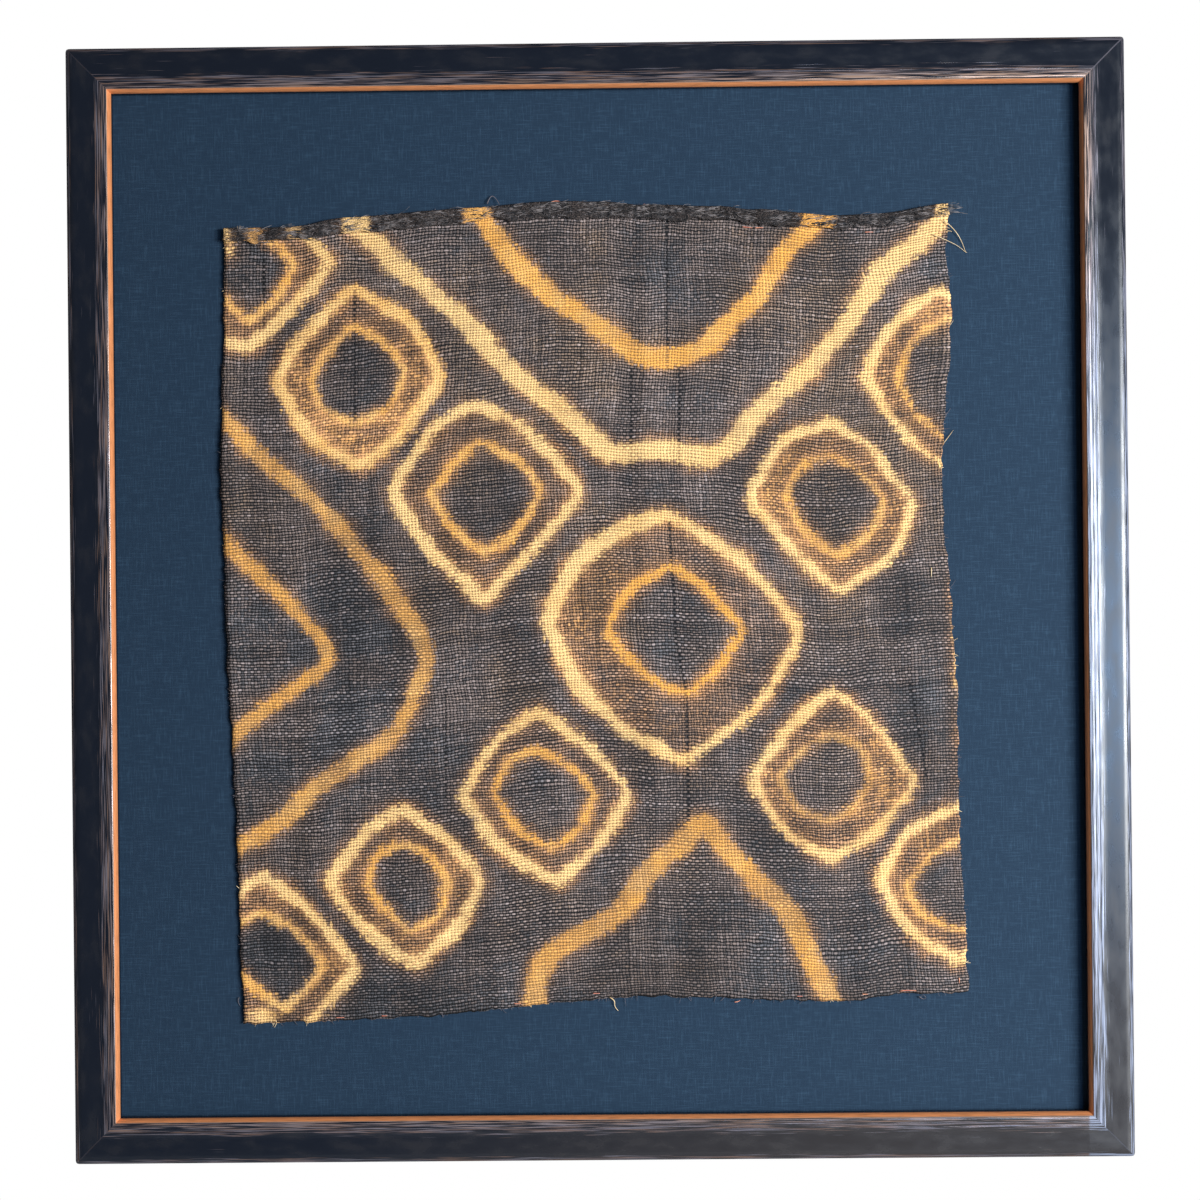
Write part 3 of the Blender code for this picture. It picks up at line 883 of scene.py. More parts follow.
def make_linen(looks):
    """Linen drawn over the board's front and turned down its four edges."""
    size = LINEN_HIGH - LINEN_LOW
    bm = bmesh.new()
    bmesh.ops.create_cube(bm, size=1.0)
    bmesh.ops.scale(bm, vec=size, verts=bm.verts)
    bmesh.ops.translate(bm, vec=(LINEN_LOW + LINEN_HIGH) / 2, verts=bm.verts)
    bm.normal_update()
    back = [face for face in bm.faces if face.normal.y > 0.5]
    bmesh.ops.delete(bm, geom=back, context="FACES_ONLY")
    folds = [edge for edge in bm.edges if not edge.is_boundary]
    bmesh.ops.bevel(
        bm, geom=folds, offset=LINEN_FOLD_RADIUS, affect="EDGES", segments=4, profile=0.5, material=-1
    )
    linen = add_piece("linen_cover", mesh_from("linen_cover", bm), [linen_material(looks)])
    wall = linen.modifiers.new("linen thickness", "SOLIDIFY")
    wall.thickness = LINEN_THICKNESS
    wall.offset = -1
    wall.use_even_offset = True
    linen.data.shade_smooth()
    linen.data.set_sharp_from_angle(angle=LINEN_SHARP_ANGLE)
    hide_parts("mount_linen")


def linen_material(looks):
    graph = Graph("blue_linen")
    x, y, z = graph.place()
    pitch = looks.pitch / MM
    across = x + y
    up = z + y
    warp = graph.math("SINE", (across + graph.noise(x / 7, z / 60) * 0.7) * (math.tau / pitch))
    weft = graph.math("SINE", (up + graph.noise(x / 60, z / 7, 3.0) * 0.7) * (math.tau / pitch))
    warp_slub = graph.noise(across / 0.9, up / 14, 1.0, detail=3.0, roughness=0.6)
    weft_slub = graph.noise(across / 14, up / 0.9, 2.0, detail=3.0, roughness=0.6)
    cloud = graph.noise(x / 120, y / 120, z / 120)
    weave = warp * weft * 0.5 + 0.5
    slub = graph.smooth(warp_slub, 0.48, 0.72) * 0.4 + graph.smooth(weft_slub, 0.48, 0.72) * 0.4
    dark = dimmed(looks.linen, 0.66)
    colour = graph.mix(weave * 0.6 + 0.4, dark, looks.linen)
    colour = graph.mix(slub, colour, looks.slub)
    colour = graph.mix(cloud * 0.2, colour, dark)
    normal = graph.bump(weave + slub * 0.6, 0.14 * MM, 0.6)
    return graph.finish(colour, 0.85, Specular_IOR_Level=0.2, Normal=normal)


# Shape of the raffia cloth


def smooth_drift(edge, share):
    """The wander of an edge at shares of its length, on a smooth curve through its rows."""
    shares = np.array([row.share for row in edge])
    outs = np.array([row.out for row in edge])
    before = np.clip(np.searchsorted(shares, share, side="right") - 1, 0, len(edge) - 2)
    step = (share - shares[before]) / (shares[before + 1] - shares[before])
    ease = step * step * (3 - 2 * step)
    return outs[before] + (outs[before + 1] - outs[before]) * ease


def between(start, end, share):
    """Points between two points, or between two rows of points."""
    share = share[:, None]
    return np.asarray(start) * (1 - share) + np.asarray(end) * share


def edge_point(start, end, edge, outward, share):
    return between(start, end, share) + np.outer(smooth_drift(edge, share), outward)


def cloth_points(across, up):
    """Where points of the cloth lie on the mount, in mm, from their shares across and up the cloth."""
    left = edge_point(CORNER_TOP_LEFT, CORNER_BOTTOM_LEFT, LEFT_EDGE, (-1, 0), 1 - up)
    right = edge_point(CORNER_TOP_RIGHT, CORNER_BOTTOM_RIGHT, RIGHT_EDGE, (1, 0), 1 - up)
    top = edge_point(CORNER_TOP_LEFT, CORNER_TOP_RIGHT, TOP_EDGE, (0, 1), across)
    bottom = edge_point(CORNER_BOTTOM_LEFT, CORNER_BOTTOM_RIGHT, BOTTOM_EDGE, (0, -1), across)
    low = between(CORNER_BOTTOM_LEFT, CORNER_BOTTOM_RIGHT, across)
    high = between(CORNER_TOP_LEFT, CORNER_TOP_RIGHT, across)
    placed = between(left, right, across) + between(bottom, top, up) - between(low, high, up)
    return placed[:, 0], placed[:, 1]


def crease_height(crease, x, z):
    """How far one crease lifts the cloth, in mm."""
    run_x, run_z = crease.x1 - crease.x0, crease.z1 - crease.z0
    share = ((x - crease.x0) * run_x + (z - crease.z0) * run_z) / (run_x**2 + run_z**2)
    share = np.clip(share, 0, 1)
    distance = np.hypot(x - crease.x0 - share * run_x, z - crease.z0 - share * run_z)
    return crease.height * np.exp(-((distance / crease.spread) ** 2))


def cloth_lift(x, z):
    """How far the cloth stands off the linen, in mm, above its closest fit."""
    wave_across = np.sin(math.tau * x / WAVE_LENGTH_ACROSS + 0.7)
    wave_up = np.sin(math.tau * z / WAVE_LENGTH_UP - 0.4)
    wave = WAVE_HEIGHT * (1 + wave_across * wave_up)
    cockle = 0.12 * (1 + value_noise(x, z, 17, 21))
    return wave + cockle + sum(crease_height(crease, x, z) for crease in CREASES)


def cloth_back_layer():
    """How far the middle of the cloth's closest layer is in front of the object's back."""
    return -LINEN_LOW.y + PIECE_GAP + CLOTH_SOLID_THICKNESS / 2


def sheet_rows(hem_depth):
    """Rows from the cloth's lower edge up, round the hem's fold and down its flap.

    Returns each row's share up the cloth, drop below the top edge and step forward, in metres.
    """
    turn_radius = (CLOTH_SOLID_THICKNESS + HEM_INNER_GAP) / 2
    top_share = 1 - turn_radius / ((CORNER_TOP_LEFT[1] - CORNER_BOTTOM_LEFT[1]) * MM)
    rows = [(top_share * row / CLOTH_FLAT_ROWS, 0.0, 0.0) for row in range(CLOTH_FLAT_ROWS + 1)]
    for turn in range(1, HEM_TURN_ROWS + 1):
        angle = math.pi * turn / HEM_TURN_ROWS
        rows.append((top_share, -turn_radius * math.sin(angle), turn_radius * (1 - math.cos(angle))))
    for flap in range(1, HEM_FLAP_ROWS + 1):
        rows.append((top_share, hem_depth * flap / HEM_FLAP_ROWS, 2 * turn_radius))
    return np.array(rows)


# Dye pattern of the raffia cloth


def bowed_side(start, end, bow, centre, steps=12):
    """Points along one side of a ring, without its end. It bows out but runs straight into its tips."""
    start, end = np.array(start, float), np.array(end, float)
    run = end - start
    outward = np.array((-run[1], run[0])) / np.hypot(*run)
    if outward @ ((start + end) / 2 - centre) < 0:
        outward = -outward
    share = np.arange(steps)[:, None] / steps
    return start + run * share + outward * ((4 * share * (1 - share)) ** TIP_SHARPNESS * bow)


def ring_line(ring):
    """A ring's middle line, closed, with its corners a little rounded, and its half width at each point."""
    corners = ring[:4]
    centre = np.mean(corners, axis=0)
    sides = [
        bowed_side(corners[side], corners[(side + 1) % 4], ring.bows[side], centre) for side in range(4)
    ]
    line = np.concatenate(sides)
    half_widths = np.repeat(ring.half_widths, len(sides[0])).astype(float)
    line = (np.roll(line, 1, axis=0) + 2 * line + np.roll(line, -1, axis=0)) / 4
    for _ in range(6):
        half_widths = (np.roll(half_widths, 1) + half_widths + np.roll(half_widths, -1)) / 3
    return np.vstack([line, line[:1]]), np.append(half_widths, half_widths[0])


def band_line(band, steps=6):
    """A band's middle line, on a smooth curve through its points, and its half width at each point."""
    points = np.array(band.points, float)
    before = np.vstack([points[:1], points[:-2]])
    start, end = points[:-1], points[1:]
    after = np.vstack([points[2:], points[-1:]])
    line = []
    for step in range(steps):
        t = step / steps
        line.append(
            0.5 * (2 * start + (end - before) * t + (2 * before - 5 * start + 4 * end - after) * t**2
                   + (3 * start - before - 3 * end + after) * t**3)
        )
    curve = np.stack(line, axis=1).reshape(-1, 2)
    curve = np.vstack([curve, points[-1:]])
    return curve, np.full(len(curve), band.half_width)


def distance_past_edge(x, z, line, half_widths):
    """Distance in mm from a line's painted edge, below zero inside it."""
    nearest = np.full(x.shape, np.inf)
    for start, end, wide_start, wide_end in zip(line, line[1:], half_widths, half_widths[1:]):
        run = end - start
        share = ((x - start[0]) * run[0] + (z - start[1]) * run[1]) / (run @ run + 1e-9)
        share = np.clip(share, 0, 1)
        gap = np.hypot(x - start[0] - share * run[0], z - start[1] - share * run[1])
        nearest = np.minimum(nearest, gap - wide_start - (wide_end - wide_start) * share)
    return nearest


def is_inside(x, z, line):
    """Which points are inside a closed line."""
    inside = np.zeros(x.shape, bool)
    for (x0, z0), (x1, z1) in zip(line, line[1:]):
        crosses = (z0 > z) != (z1 > z)
        height = z1 - z0 if z1 != z0 else 1e-9
        inside ^= crosses & (x < x0 + (x1 - x0) * (z - z0) / height)
    return inside


def lozenge_haze(lozenge, x, z, outer_line, inner_line):
    """How strong the tan stain is between a lozenge's two rings."""
    centre = np.mean(lozenge.inner[:4], axis=0)
    angle = np.arctan2(x - centre[0], z - centre[1])
    north, east, south, west = lozenge.haze
    toward = np.stack([np.cos(angle), np.sin(angle), -np.cos(angle), -np.sin(angle)])
    weight = np.clip(toward, 0, None) ** 2
    amount = weight[0] * north + weight[1] * east + weight[2] * south + weight[3] * west
    between_rings = is_inside(x, z, outer_line) & ~is_inside(x, z, inner_line)
    return np.where(between_rings, amount, 0.0)


class Dye:
    """The dye at many points: how far past the nearest dyed edge (mm), its hue and strength, and more."""

    # How far from a dyed line its hue and strength still count (mm)
    BLEED = 5.0

    def __init__(self, x, z):
        drift_x = 1.6 * value_noise(x, z, 22, 31) + 0.5 * value_noise(x, z, 7, 32)
        drift_z = 1.6 * value_noise(x, z, 22, 33) + 0.5 * value_noise(x, z, 7, 34)
        self.x, self.z = x + drift_x, z + drift_z
        self.edge = np.full(x.shape, 50.0)
        self.hue = np.zeros(x.shape)
        self.strength = np.zeros(x.shape)
        self.weight = np.full(x.shape, 1e-6)
        self.haze = np.zeros(x.shape)
        for lozenge in LOZENGES:
            outer_line, outer_widths = ring_line(lozenge.outer)
            inner_line, inner_widths = ring_line(lozenge.inner)
            self.add(distance_past_edge(self.x, self.z, outer_line, outer_widths), lozenge.outer)
            self.add(distance_past_edge(self.x, self.z, inner_line, inner_widths), lozenge.inner)
            haze = lozenge_haze(lozenge, self.x, self.z, outer_line, inner_line)
            self.haze = np.maximum(self.haze, haze)
        for band in BANDS:
            line, half_widths = band_line(band)
            self.add(distance_past_edge(self.x, self.z, line, half_widths), band)
        for stain in STAINS:
            far = np.hypot((x - stain.x) / stain.half_width, (z - stain.z) / stain.half_height)
            self.add((far - 1) * min(stain.half_width, stain.half_height), stain)
        self.edge += 1.1 * value_noise(x, z, 15, 37) + 0.5 * value_noise(x, z, 6, 38)
        self.hue = self.hue / self.weight + 0.2 * value_noise(x, z, 28, 44) + 0.15 * value_noise(x, z, 9, 45)
        patchy = 1 + 0.16 * value_noise(x, z, 24, 36) + 0.16 * value_noise(x, z, 8, 39)
        self.strength *= patchy / self.weight
        self.haze *= 1 + 0.3 * value_noise(x, z, 17, 48) + 0.3 * value_noise(x, z, 7, 49)
        run = 0.5 + 0.45 * value_noise(x, z, 26, 46) + 0.3 * value_noise(x, z, 10, 47) + 0.5 * self.haze
        self.run = np.clip(run, 0.05, 1.3)
        self.warmth = np.clip(self.cast(x, z, "warmth", 0.5, 41), -1.2, 1.2)
        self.lighter = self.cast(x, z, "lighter", 0.2, 53)

    def add(self, edge, paint):
        """Adds one ring, band or stain. Its hue and strength count most close to it."""
        weight = np.exp(-((np.clip(edge, 0, 60) / self.BLEED) ** 2)) * np.exp(-np.clip(edge, -9, 0) / 6)
        self.edge = np.minimum(self.edge, edge)
        self.hue += weight * paint.hue
        self.strength += weight * paint.strength
        self.weight += weight

    def cast(self, x, z, kind, sway, seed):
        """The sum of one kind of cast over the ground, with a random sway of its own."""
        total = sway * (value_noise(x, z, 60, seed) + 0.7 * value_noise(x, z, 24, seed + 1))
        total = total + sway * 0.6 * value_noise(x, z, 11, seed + 2)
        for cast in CASTS:
            far = np.hypot(x - cast.x, z - cast.z) / cast.reach
            total = total + getattr(cast, kind) * np.exp(-(far**2))
        return total

    def use_hem_patches(self, on_flap):
        """On the hem's flap the cloth's other face shows, with its own patches of dye."""
        x = self.x[on_flap]
        edge = np.full(x.shape, 20.0)
        hue = np.zeros(x.shape)
        strength = np.ones(x.shape)
        for patch in HEM_PATCHES:
            past = np.abs(x - (patch.x0 + patch.x1) / 2) - (patch.x1 - patch.x0) / 2
            past = past + 1.5 * value_noise(x, self.z[on_flap], 3, 35)
            hue[past < edge] = patch.hue
            strength[past < edge] = patch.strength
            edge = np.minimum(edge, past)
        self.edge[on_flap] = edge
        self.hue[on_flap] = hue
        self.strength[on_flap] = strength
        self.haze[on_flap] = 0.0


def make_cloth(looks):
    """The raffia sheet with its hem, its thread coordinates and its dye."""
    rows = sheet_rows(looks.hem_depth)
    bm = bmesh.new()
    bmesh.ops.create_grid(bm, x_segments=CLOTH_COLUMNS, y_segments=len(rows) - 1, size=0.5, calc_uvs=True)
    mesh = mesh_from("raffia_weave", bm)
    corners = np.empty(len(mesh.vertices) * 3, np.float32)
    mesh.vertices.foreach_get("co", corners)
    corners = corners.reshape(-1, 3).astype(float)
    across = corners[:, 0] + 0.5
    row = np.rint((corners[:, 1] + 0.5) * (len(rows) - 1)).astype(int)
    share, drop, forward = rows[row].T
    on_flap = row > CLOTH_FLAT_ROWS + HEM_TURN_ROWS // 2
    x, z = cloth_points(across, share)
    z = z - drop / MM * np.where(on_flap, hem_wander(x), 1.0)
    x = x + ragged_sides(across, z, 61)
    z = z + ragged_below(share, x, 71)
    lift = cloth_lift(x, z)
    forward_mm = forward / MM + hem_plump(x, z) * np.clip(forward / forward.max(), 0, 1)
    depth = cloth_back_layer() / MM + lift + forward_mm
    placed = np.stack([x, -depth, z], axis=1) * MM
    mesh.vertices.foreach_set("co", placed.astype(np.float32).ravel())
    add_thread_map(mesh, across, share - drop / MM / CLOTH_HEIGHT, x, z, looks)
    dye = Dye(x, z)
    dye.use_hem_patches(on_flap)
    # Painted shade: the ground darkens along the raw bottom edge
    shade_below = 0.4 * np.exp(-share * CLOTH_HEIGHT / 4.5)
    dye.lighter -= shade_below
    for name, values in (
        ("dye_edge", dye.edge), ("dye_hue", dye.hue), ("dye_strength", dye.strength),
        ("dye_haze", dye.haze), ("dye_warmth", dye.warmth), ("cast_and_edge_shade", dye.lighter),
        ("dye_run", dye.run), ("hem_flap", on_flap.astype(float)),
    ):
        layer = mesh.attributes.new(name, "FLOAT", "POINT")
        layer.data.foreach_set("value", np.asarray(values, np.float32))
    mesh.update()
    cloth = add_piece("raffia_weave", thickened(mesh, looks.thickness), [raffia_material(looks)])
    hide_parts("raffia_cloth")
    return cloth


def hem_plump(x, z):
    """How much the rolled hem bulges forward, in mm."""
    return 0.8 * (1 + value_noise(x, x * 0, 11, 53)) + 0.5 * (1 + value_noise(x, z, 3.5, 54))


def hem_wander(x):
    """How much deeper or shallower the hem's flap is than its mean depth, as a factor."""
    return 1 + 0.25 * value_noise(x, x * 0, 19, 51) + 0.15 * value_noise(x, x * 0, 6, 52)


def ragged_sides(across, z, seed):
    """How far the raw side edges are pulled in or out, in mm, fading out inside the cloth."""
    near_left = np.clip(1 - across * CLOTH_WIDTH / RAGGED_REACH, 0, 1)
    near_right = np.clip(1 - (1 - across) * CLOTH_WIDTH / RAGGED_REACH, 0, 1)
    left = 0.7 * value_noise(z, z * 0, 3.2, seed) + 0.5 * value_noise(z, z * 0, 9, seed + 1)
    right = 0.8 * value_noise(z, z * 0, 3.0, seed + 2) + 0.6 * value_noise(z, z * 0, 8, seed + 3)
    return near_left * left + near_right * right


def ragged_below(up, x, seed):
    """How far the raw bottom edge is pulled up or down, in mm, fading out inside the cloth."""
    near_edge = np.clip(1 - up * CLOTH_HEIGHT / RAGGED_REACH, 0, 1)
    return near_edge * (0.8 * value_noise(x, x * 0, 3.1, seed) + 0.6 * value_noise(x, x * 0, 9, seed + 1))


def add_thread_map(mesh, across, up, x, z, looks):
    """A UV map that counts the cloth's threads: warps from left to right and wefts from the bottom up."""
    warps = across * CLOTH_WIDTH / (looks.warp_pitch / MM)
    warps = warps + 0.9 * value_noise(x, z * 0.12, 24, 81) + 0.25 * value_noise(x, z * 0.3, 8, 82)
    wefts = up * CLOTH_HEIGHT / (looks.weft_pitch / MM)
    wefts = wefts + 0.9 * value_noise(x * 0.12, z, 24, 83) + 0.35 * value_noise(x * 0.5, z, 9, 84)
    flat = mesh.uv_layers.new(name="threads")
    corner_vertices = np.empty(len(mesh.loops), np.int32)
    mesh.loops.foreach_get("vertex_index", corner_vertices)
    pairs = np.stack([warps, wefts], axis=1)[corner_vertices]
    flat.data.foreach_set("uv", pairs.astype(np.float32).ravel())


def thickened(mesh, thickness):
    """A closed sheet of a thickness round a flat mesh."""
    draft = linked("raffia_draft", mesh)
    wall = draft.modifiers.new("raffia thickness", "SOLIDIFY")
    wall.thickness = thickness
    wall.offset = 0
    closed = finished_mesh(draft)
    closed.shade_smooth()
    return closed


# What the weave gives at each point: how high the upper thread is, whether it is a weft, a random number
# for the crossing, how pale the thread is, how far dye ran along it, and where a warp is missing
Weave = namedtuple("Weave", "height weft_shows crossing tone bleed missing")


def counted_threads(graph, flap):
    """The warp and weft number at each point. They wander a little, and more on the hem's flap."""
    u, v = graph.uv("threads")
    x, _, z = graph.place()
    u = u + graph.sway(u * 0.08, v * 0.12, 1.0) * 1.2 + graph.sway(u * 0.4, v * 0.5, 2.0) * 0.6
    v = v + graph.sway(u * 0.07, v * 0.13, 3.0) * 1.8 + graph.sway(u * 0.35, v * 0.4, 4.0) * 0.6
    u = u + flap * graph.sway(x / 5, z / 2.5, 14.0) * 5.0
    v = v + flap * graph.sway(x / 6, z / 2.5, 15.0) * 9.0
    return u, v


def plain_weave(graph, u, v):
    warp_number = graph.math("FLOOR", u)
    weft_number = graph.math("FLOOR", v)
    warp_side = graph.math("FRACT", u) - 0.5
    weft_side = graph.math("FRACT", v) - 0.5
    warp_kind = graph.random(warp_number, 3.5)
    weft_kind = graph.random(7.5, weft_number)
    missing = ladder_mask(graph)
    warp_round = ridge(graph, warp_side, 0.32 + warp_kind * 0.12) * (1 - missing)
    weft_round = ridge(graph, weft_side, 0.3 + weft_kind * 0.1)
    warps_show = graph.smooth(graph.noise(u * 0.06, v * 0.025, 10.0), 0.35, 0.7) * 0.75
    warps_show = warps_show + graph.smooth(v, 130, 210) * 0.2 - 0.1
    parity = graph.math("MODULO", warp_number + weft_number, 2.0)
    turn = graph.math("ABSOLUTE", parity) * 2 - 1
    weft_height = weft_round * (0.7 + turn * 0.3 * graph.math("COSINE", warp_side * math.pi))
    warp_turn = turn * 0.42 * graph.math("COSINE", weft_side * math.pi)
    warp_height = warp_round * (0.33 + warps_show * 0.4 - warp_turn)
    weft_shows = graph.math("GREATER_THAN", weft_height, warp_height)
    weft_tone = weft_kind * 0.4 + graph.noise(u * 0.2, weft_number * 3.7, 5.0) * 0.8
    warp_tone = warp_kind * 0.35 + graph.noise(warp_number * 3.7, v * 0.2, 6.0) * 0.75
    weft_bleed = graph.sway(u * 0.2, weft_number * 5.3, 7.0)
    warp_bleed = graph.sway(warp_number * 5.3, v * 0.2, 8.0)
    return Weave(
        height=graph.math("MAXIMUM", weft_height, warp_height),
        weft_shows=weft_shows,
        crossing=graph.random(warp_number, weft_number),
        tone=weft_shows * weft_tone + (1 - weft_shows) * warp_tone,
        bleed=weft_shows * weft_bleed + (1 - weft_shows) * warp_bleed,
        missing=missing,
    )


def raffia_material(looks):
    graph = Graph("dyed_raffia")
    flap = graph.attribute("hem_flap")
    u, v = counted_threads(graph, flap)
    weave = plain_weave(graph, u, v)
    speck = weave.crossing - 0.5
    edge = graph.attribute("dye_edge") + weave.bleed * 10.0 + speck * 3.0
    strength = graph.attribute("dye_strength")
    core = graph.math("MINIMUM", graph.smooth(edge, 2.8, -2.8) * strength * 1.15, 1.0)
    fringe = graph.smooth(edge, 10.0, -1.0) * strength * graph.attribute("dye_run")
    fringe = graph.math("MINIMUM", fringe, 0.9)
    warmth = graph.attribute("dye_warmth") + weave.bleed * 1.1 + speck * 0.5
    ground = graph.mix(graph.smooth(warmth, 0.0, 0.9), looks.ground, looks.ground_warm)
    ground = graph.mix(graph.smooth(warmth, 0.0, -0.9), ground, looks.ground_blue)
    ground = graph.mix(graph.smooth(weave.tone + speck * 0.4, 0.6, 1.1) * 0.6, ground, looks.ground_pale)
    haze = graph.attribute("dye_haze") * (0.8 + weave.bleed + speck * 0.3)
    haze = graph.math("MINIMUM", graph.math("MAXIMUM", haze, 0.0), 1.0)
    strong_haze = graph.smooth(haze, 0.35, 1.1)
    colour = graph.mix(haze, ground, graph.mix(strong_haze, looks.haze, looks.strong_haze))
    colour = graph.mix(fringe, colour, looks.fringe)
    hue = graph.attribute("dye_hue") + graph.smooth(edge, -2.5, 2.5) * 0.25
    dyed = graph.mix(graph.smooth(hue, 0.0, 1.0), looks.cream, looks.orange)
    colour = graph.mix(core, colour, dyed)
    streaks = graph.smooth(graph.noise(u * 0.8, v * 0.02, 12.0, detail=1.0), 0.6, 0.74) * 0.4
    streaks = streaks + graph.smooth(graph.noise(u * 0.02, v * 0.8, 13.0, detail=1.0), 0.6, 0.74) * 0.3
    light = 0.4 + weave.tone * 0.72 + speck * 0.5 + pale_weft_mask(graph) * weave.weft_shows
    light = light * (1 - weave.missing * 0.5) * (1 - streaks)
    # The ground's lighter and darker casts, with the painted shade along the bottom edge; the hem's flap is
    # darker
    light = light * (1 + graph.attribute("cast_and_edge_shade") * (1 - core)) * (1 - flap * (1 - core) * 0.72)
    light = graph.mix(core * 0.7, graph.vector(light, light, light), (1.0, 1.0, 1.0))
    # Painted shade: the colour darkens where a thread dips under its neighbour, less in dyed and stained
    # parts, and turns to the gap's shade between the threads
    painted_thread_shade = graph.smooth(weave.height, 0.38, 0.92)
    painted_thread_shade = painted_thread_shade + (1 - painted_thread_shade) * (0.02 + core * 0.5 + haze * 0.15 + strong_haze * 0.25 + fringe * 0.1)
    colour = graph.mix(1.0, colour, light, blend="MULTIPLY")
    colour = graph.mix(1.0, colour, graph.vector(painted_thread_shade, painted_thread_shade, painted_thread_shade), blend="MULTIPLY")
    gap = graph.mix(core, looks.gap, looks.dyed_gap)
    colour = graph.mix(graph.smooth(weave.height, 0.0, 0.3), gap, colour)
    normal = graph.bump(weave.height + weave.crossing * 0.1, 0.6 * MM, 0.7)
    roughness = 0.6 + weave.crossing * 0.2
    return graph.finish(colour, roughness, Specular_IOR_Level=0.25, Normal=normal)


def pale_weft_mask(graph):
    """How much paler the single pale crosswise threads are."""
    x, _, z = graph.place()
    sag = graph.noise(x / 40, z / 300, 9.0) * 6
    total = 0.0
    for weft in PALE_WEFTS:
        line = graph.smooth(graph.math("ABSOLUTE", z + sag - weft.z - 3), 1.5, 0.8)
        span = graph.smooth(x, weft.x0, weft.x0 + 12) * graph.smooth(x, weft.x1, weft.x1 - 12)
        total = line * span * weft.strength + total
    return total


def ridge(graph, side, half):
    """The rounded top of a thread, from 1 at its middle to 0 at its sides."""
    out = side / half
    return graph.math("SQRT", graph.math("MAXIMUM", 1 - out * out, 0.0))


def ladder_mask(graph):
    """1 where a lengthwise thread is missing."""
    x, _, z = graph.place()
    masks = []
    for ladder in LADDERS:
        slope = (ladder.x1 - ladder.x0) / (ladder.z1 - ladder.z0)
        middle = (z - ladder.z0) * slope + ladder.x0
        half = ladder.half_width
        line = graph.smooth(graph.math("ABSOLUTE", x - middle), half * 1.7, half * 0.7)
        low, high = min(ladder.z0, ladder.z1), max(ladder.z0, ladder.z1)
        span = graph.smooth(z, low - 2, low + 2) * graph.smooth(z, high + 2, high - 2)
        masks.append(line * span * ladder.strength)
    total = masks[0]
    for mask in masks[1:]:
        total = graph.math("MAXIMUM", total, mask)
    return total


# Threads and stitches


def thread_mesh(name, threads, material, roundness=1):
    """One piece from many thin threads. Each thread is a radius (m) and its points (m)."""
    curve = bpy.data.curves.new(name, "CURVE")
    curve.dimensions = "3D"
    curve.bevel_depth = 1.0
    curve.bevel_resolution = roundness
    curve.use_fill_caps = True
    curve.resolution_u = 2 + roundness
    for radius, points in threads:
        spline = curve.splines.new("NURBS")
        spline.points.add(len(points) - 1)
        for place, (point, control) in enumerate(zip(points, spline.points)):
            taper = 1 - 0.6 * place / (len(points) - 1)
            control.co = (*point, 1.0)
            control.radius = radius * taper
        spline.order_u = 3
        spline.use_endpoint_u = True
    mesh = finished_mesh(linked(name + "_draft", curve))
    bm = bmesh.new()
    bm.from_mesh(mesh)
    bmesh.ops.remove_doubles(bm, verts=bm.verts, dist=0.00001)
    bmesh.ops.recalc_face_normals(bm, faces=bm.faces)
    bm.to_mesh(mesh)
    bm.free()
    mesh.shade_smooth()
    piece = add_piece(name, mesh, [material])


def thread_material(kind, name):
    graph = Graph(name)
    x, y, z = graph.place()
    tone = graph.noise(x / 4, y / 4, z / 4, detail=3.0)
    fibres = graph.noise(x * 3, y * 3, z * 3, detail=2.0)
    mixed = graph.mix(graph.smooth(tone, 0.35, 0.65), *THREAD_SHADES[kind])
    normal = graph.bump(fibres, 0.1 * MM, 0.6)
    return graph.finish(mixed, 0.55 + fibres * 0.2, Normal=normal)


def edge_place(edge, share):
    """A point on an edge of the cloth (mm) and the direction out of the cloth there."""
    out = -1.0 if edge in ("left", "bottom") else 1.0
    side = max(out, 0.0)
    if edge in ("left", "right"):
        return *cloth_point(side, share), (out, 0.0)
    return *cloth_point(share, side), (0.0, out)


def cloth_point(across, up):
    x, z = cloth_points(np.array([across]), np.array([up]))
    return x[0], z[0]


def lift_at(x, z):
    """How far the closest layer of the cloth is from the object's back at one point, in mm."""
    return cloth_back_layer() / MM + float(cloth_lift(np.array([x]), np.array([z]))[0])


def frayed_threads():
    """Short thread ends past the raw edges and along the hem, as (is pale, radius, points in metres)."""
    chance = np.random.default_rng(91)
    starts = []
    for fray in FRAYS:
        for _ in range(fray.count):
            x, z, outward = edge_place(fray.edge, chance.uniform(0.01, 0.99))
            starts.append((x, z, outward, fray.edge, chance.exponential(fray.length)))
    dye = Dye(np.array([start[0] for start in starts]), np.array([start[1] for start in starts]))
    threads = []
    for number, (x, z, outward, edge, length) in enumerate(starts):
        length = min(length, FRAY_LONGEST) + FRAY_SHORTEST
        out, lean = np.array(outward), np.array((outward[1], outward[0]))
        slant = chance.normal(0, 0.4)
        curl = chance.normal(0, 0.5)
        base = lift_at(x, z)
        rise = 1.0 if edge == "top" else 0.0
        points = []
        for step in range(5):
            share = step / 4
            reach = -FRAY_ROOT + (length + FRAY_ROOT) * share
            side = lean * (slant * reach + curl * length * share * share)
            spot = np.array((x, z)) + out * reach + side
            fall = (base - FRAY_DROOP_HEIGHT) * 0.8 * share if length > 3 else 0.0
            depth = base + rise * (1 - share) + 0.35 * math.sin(share * 5 + number) - fall
            points.append((spot[0] * MM, -max(depth, FRAY_LOWEST) * MM, spot[1] * MM))
        pale = dye.edge[number] < 1.5 and dye.strength[number] > 0.5
        threads.append((pale, chance.uniform(0.16, 0.34) * MM, points))
    return threads


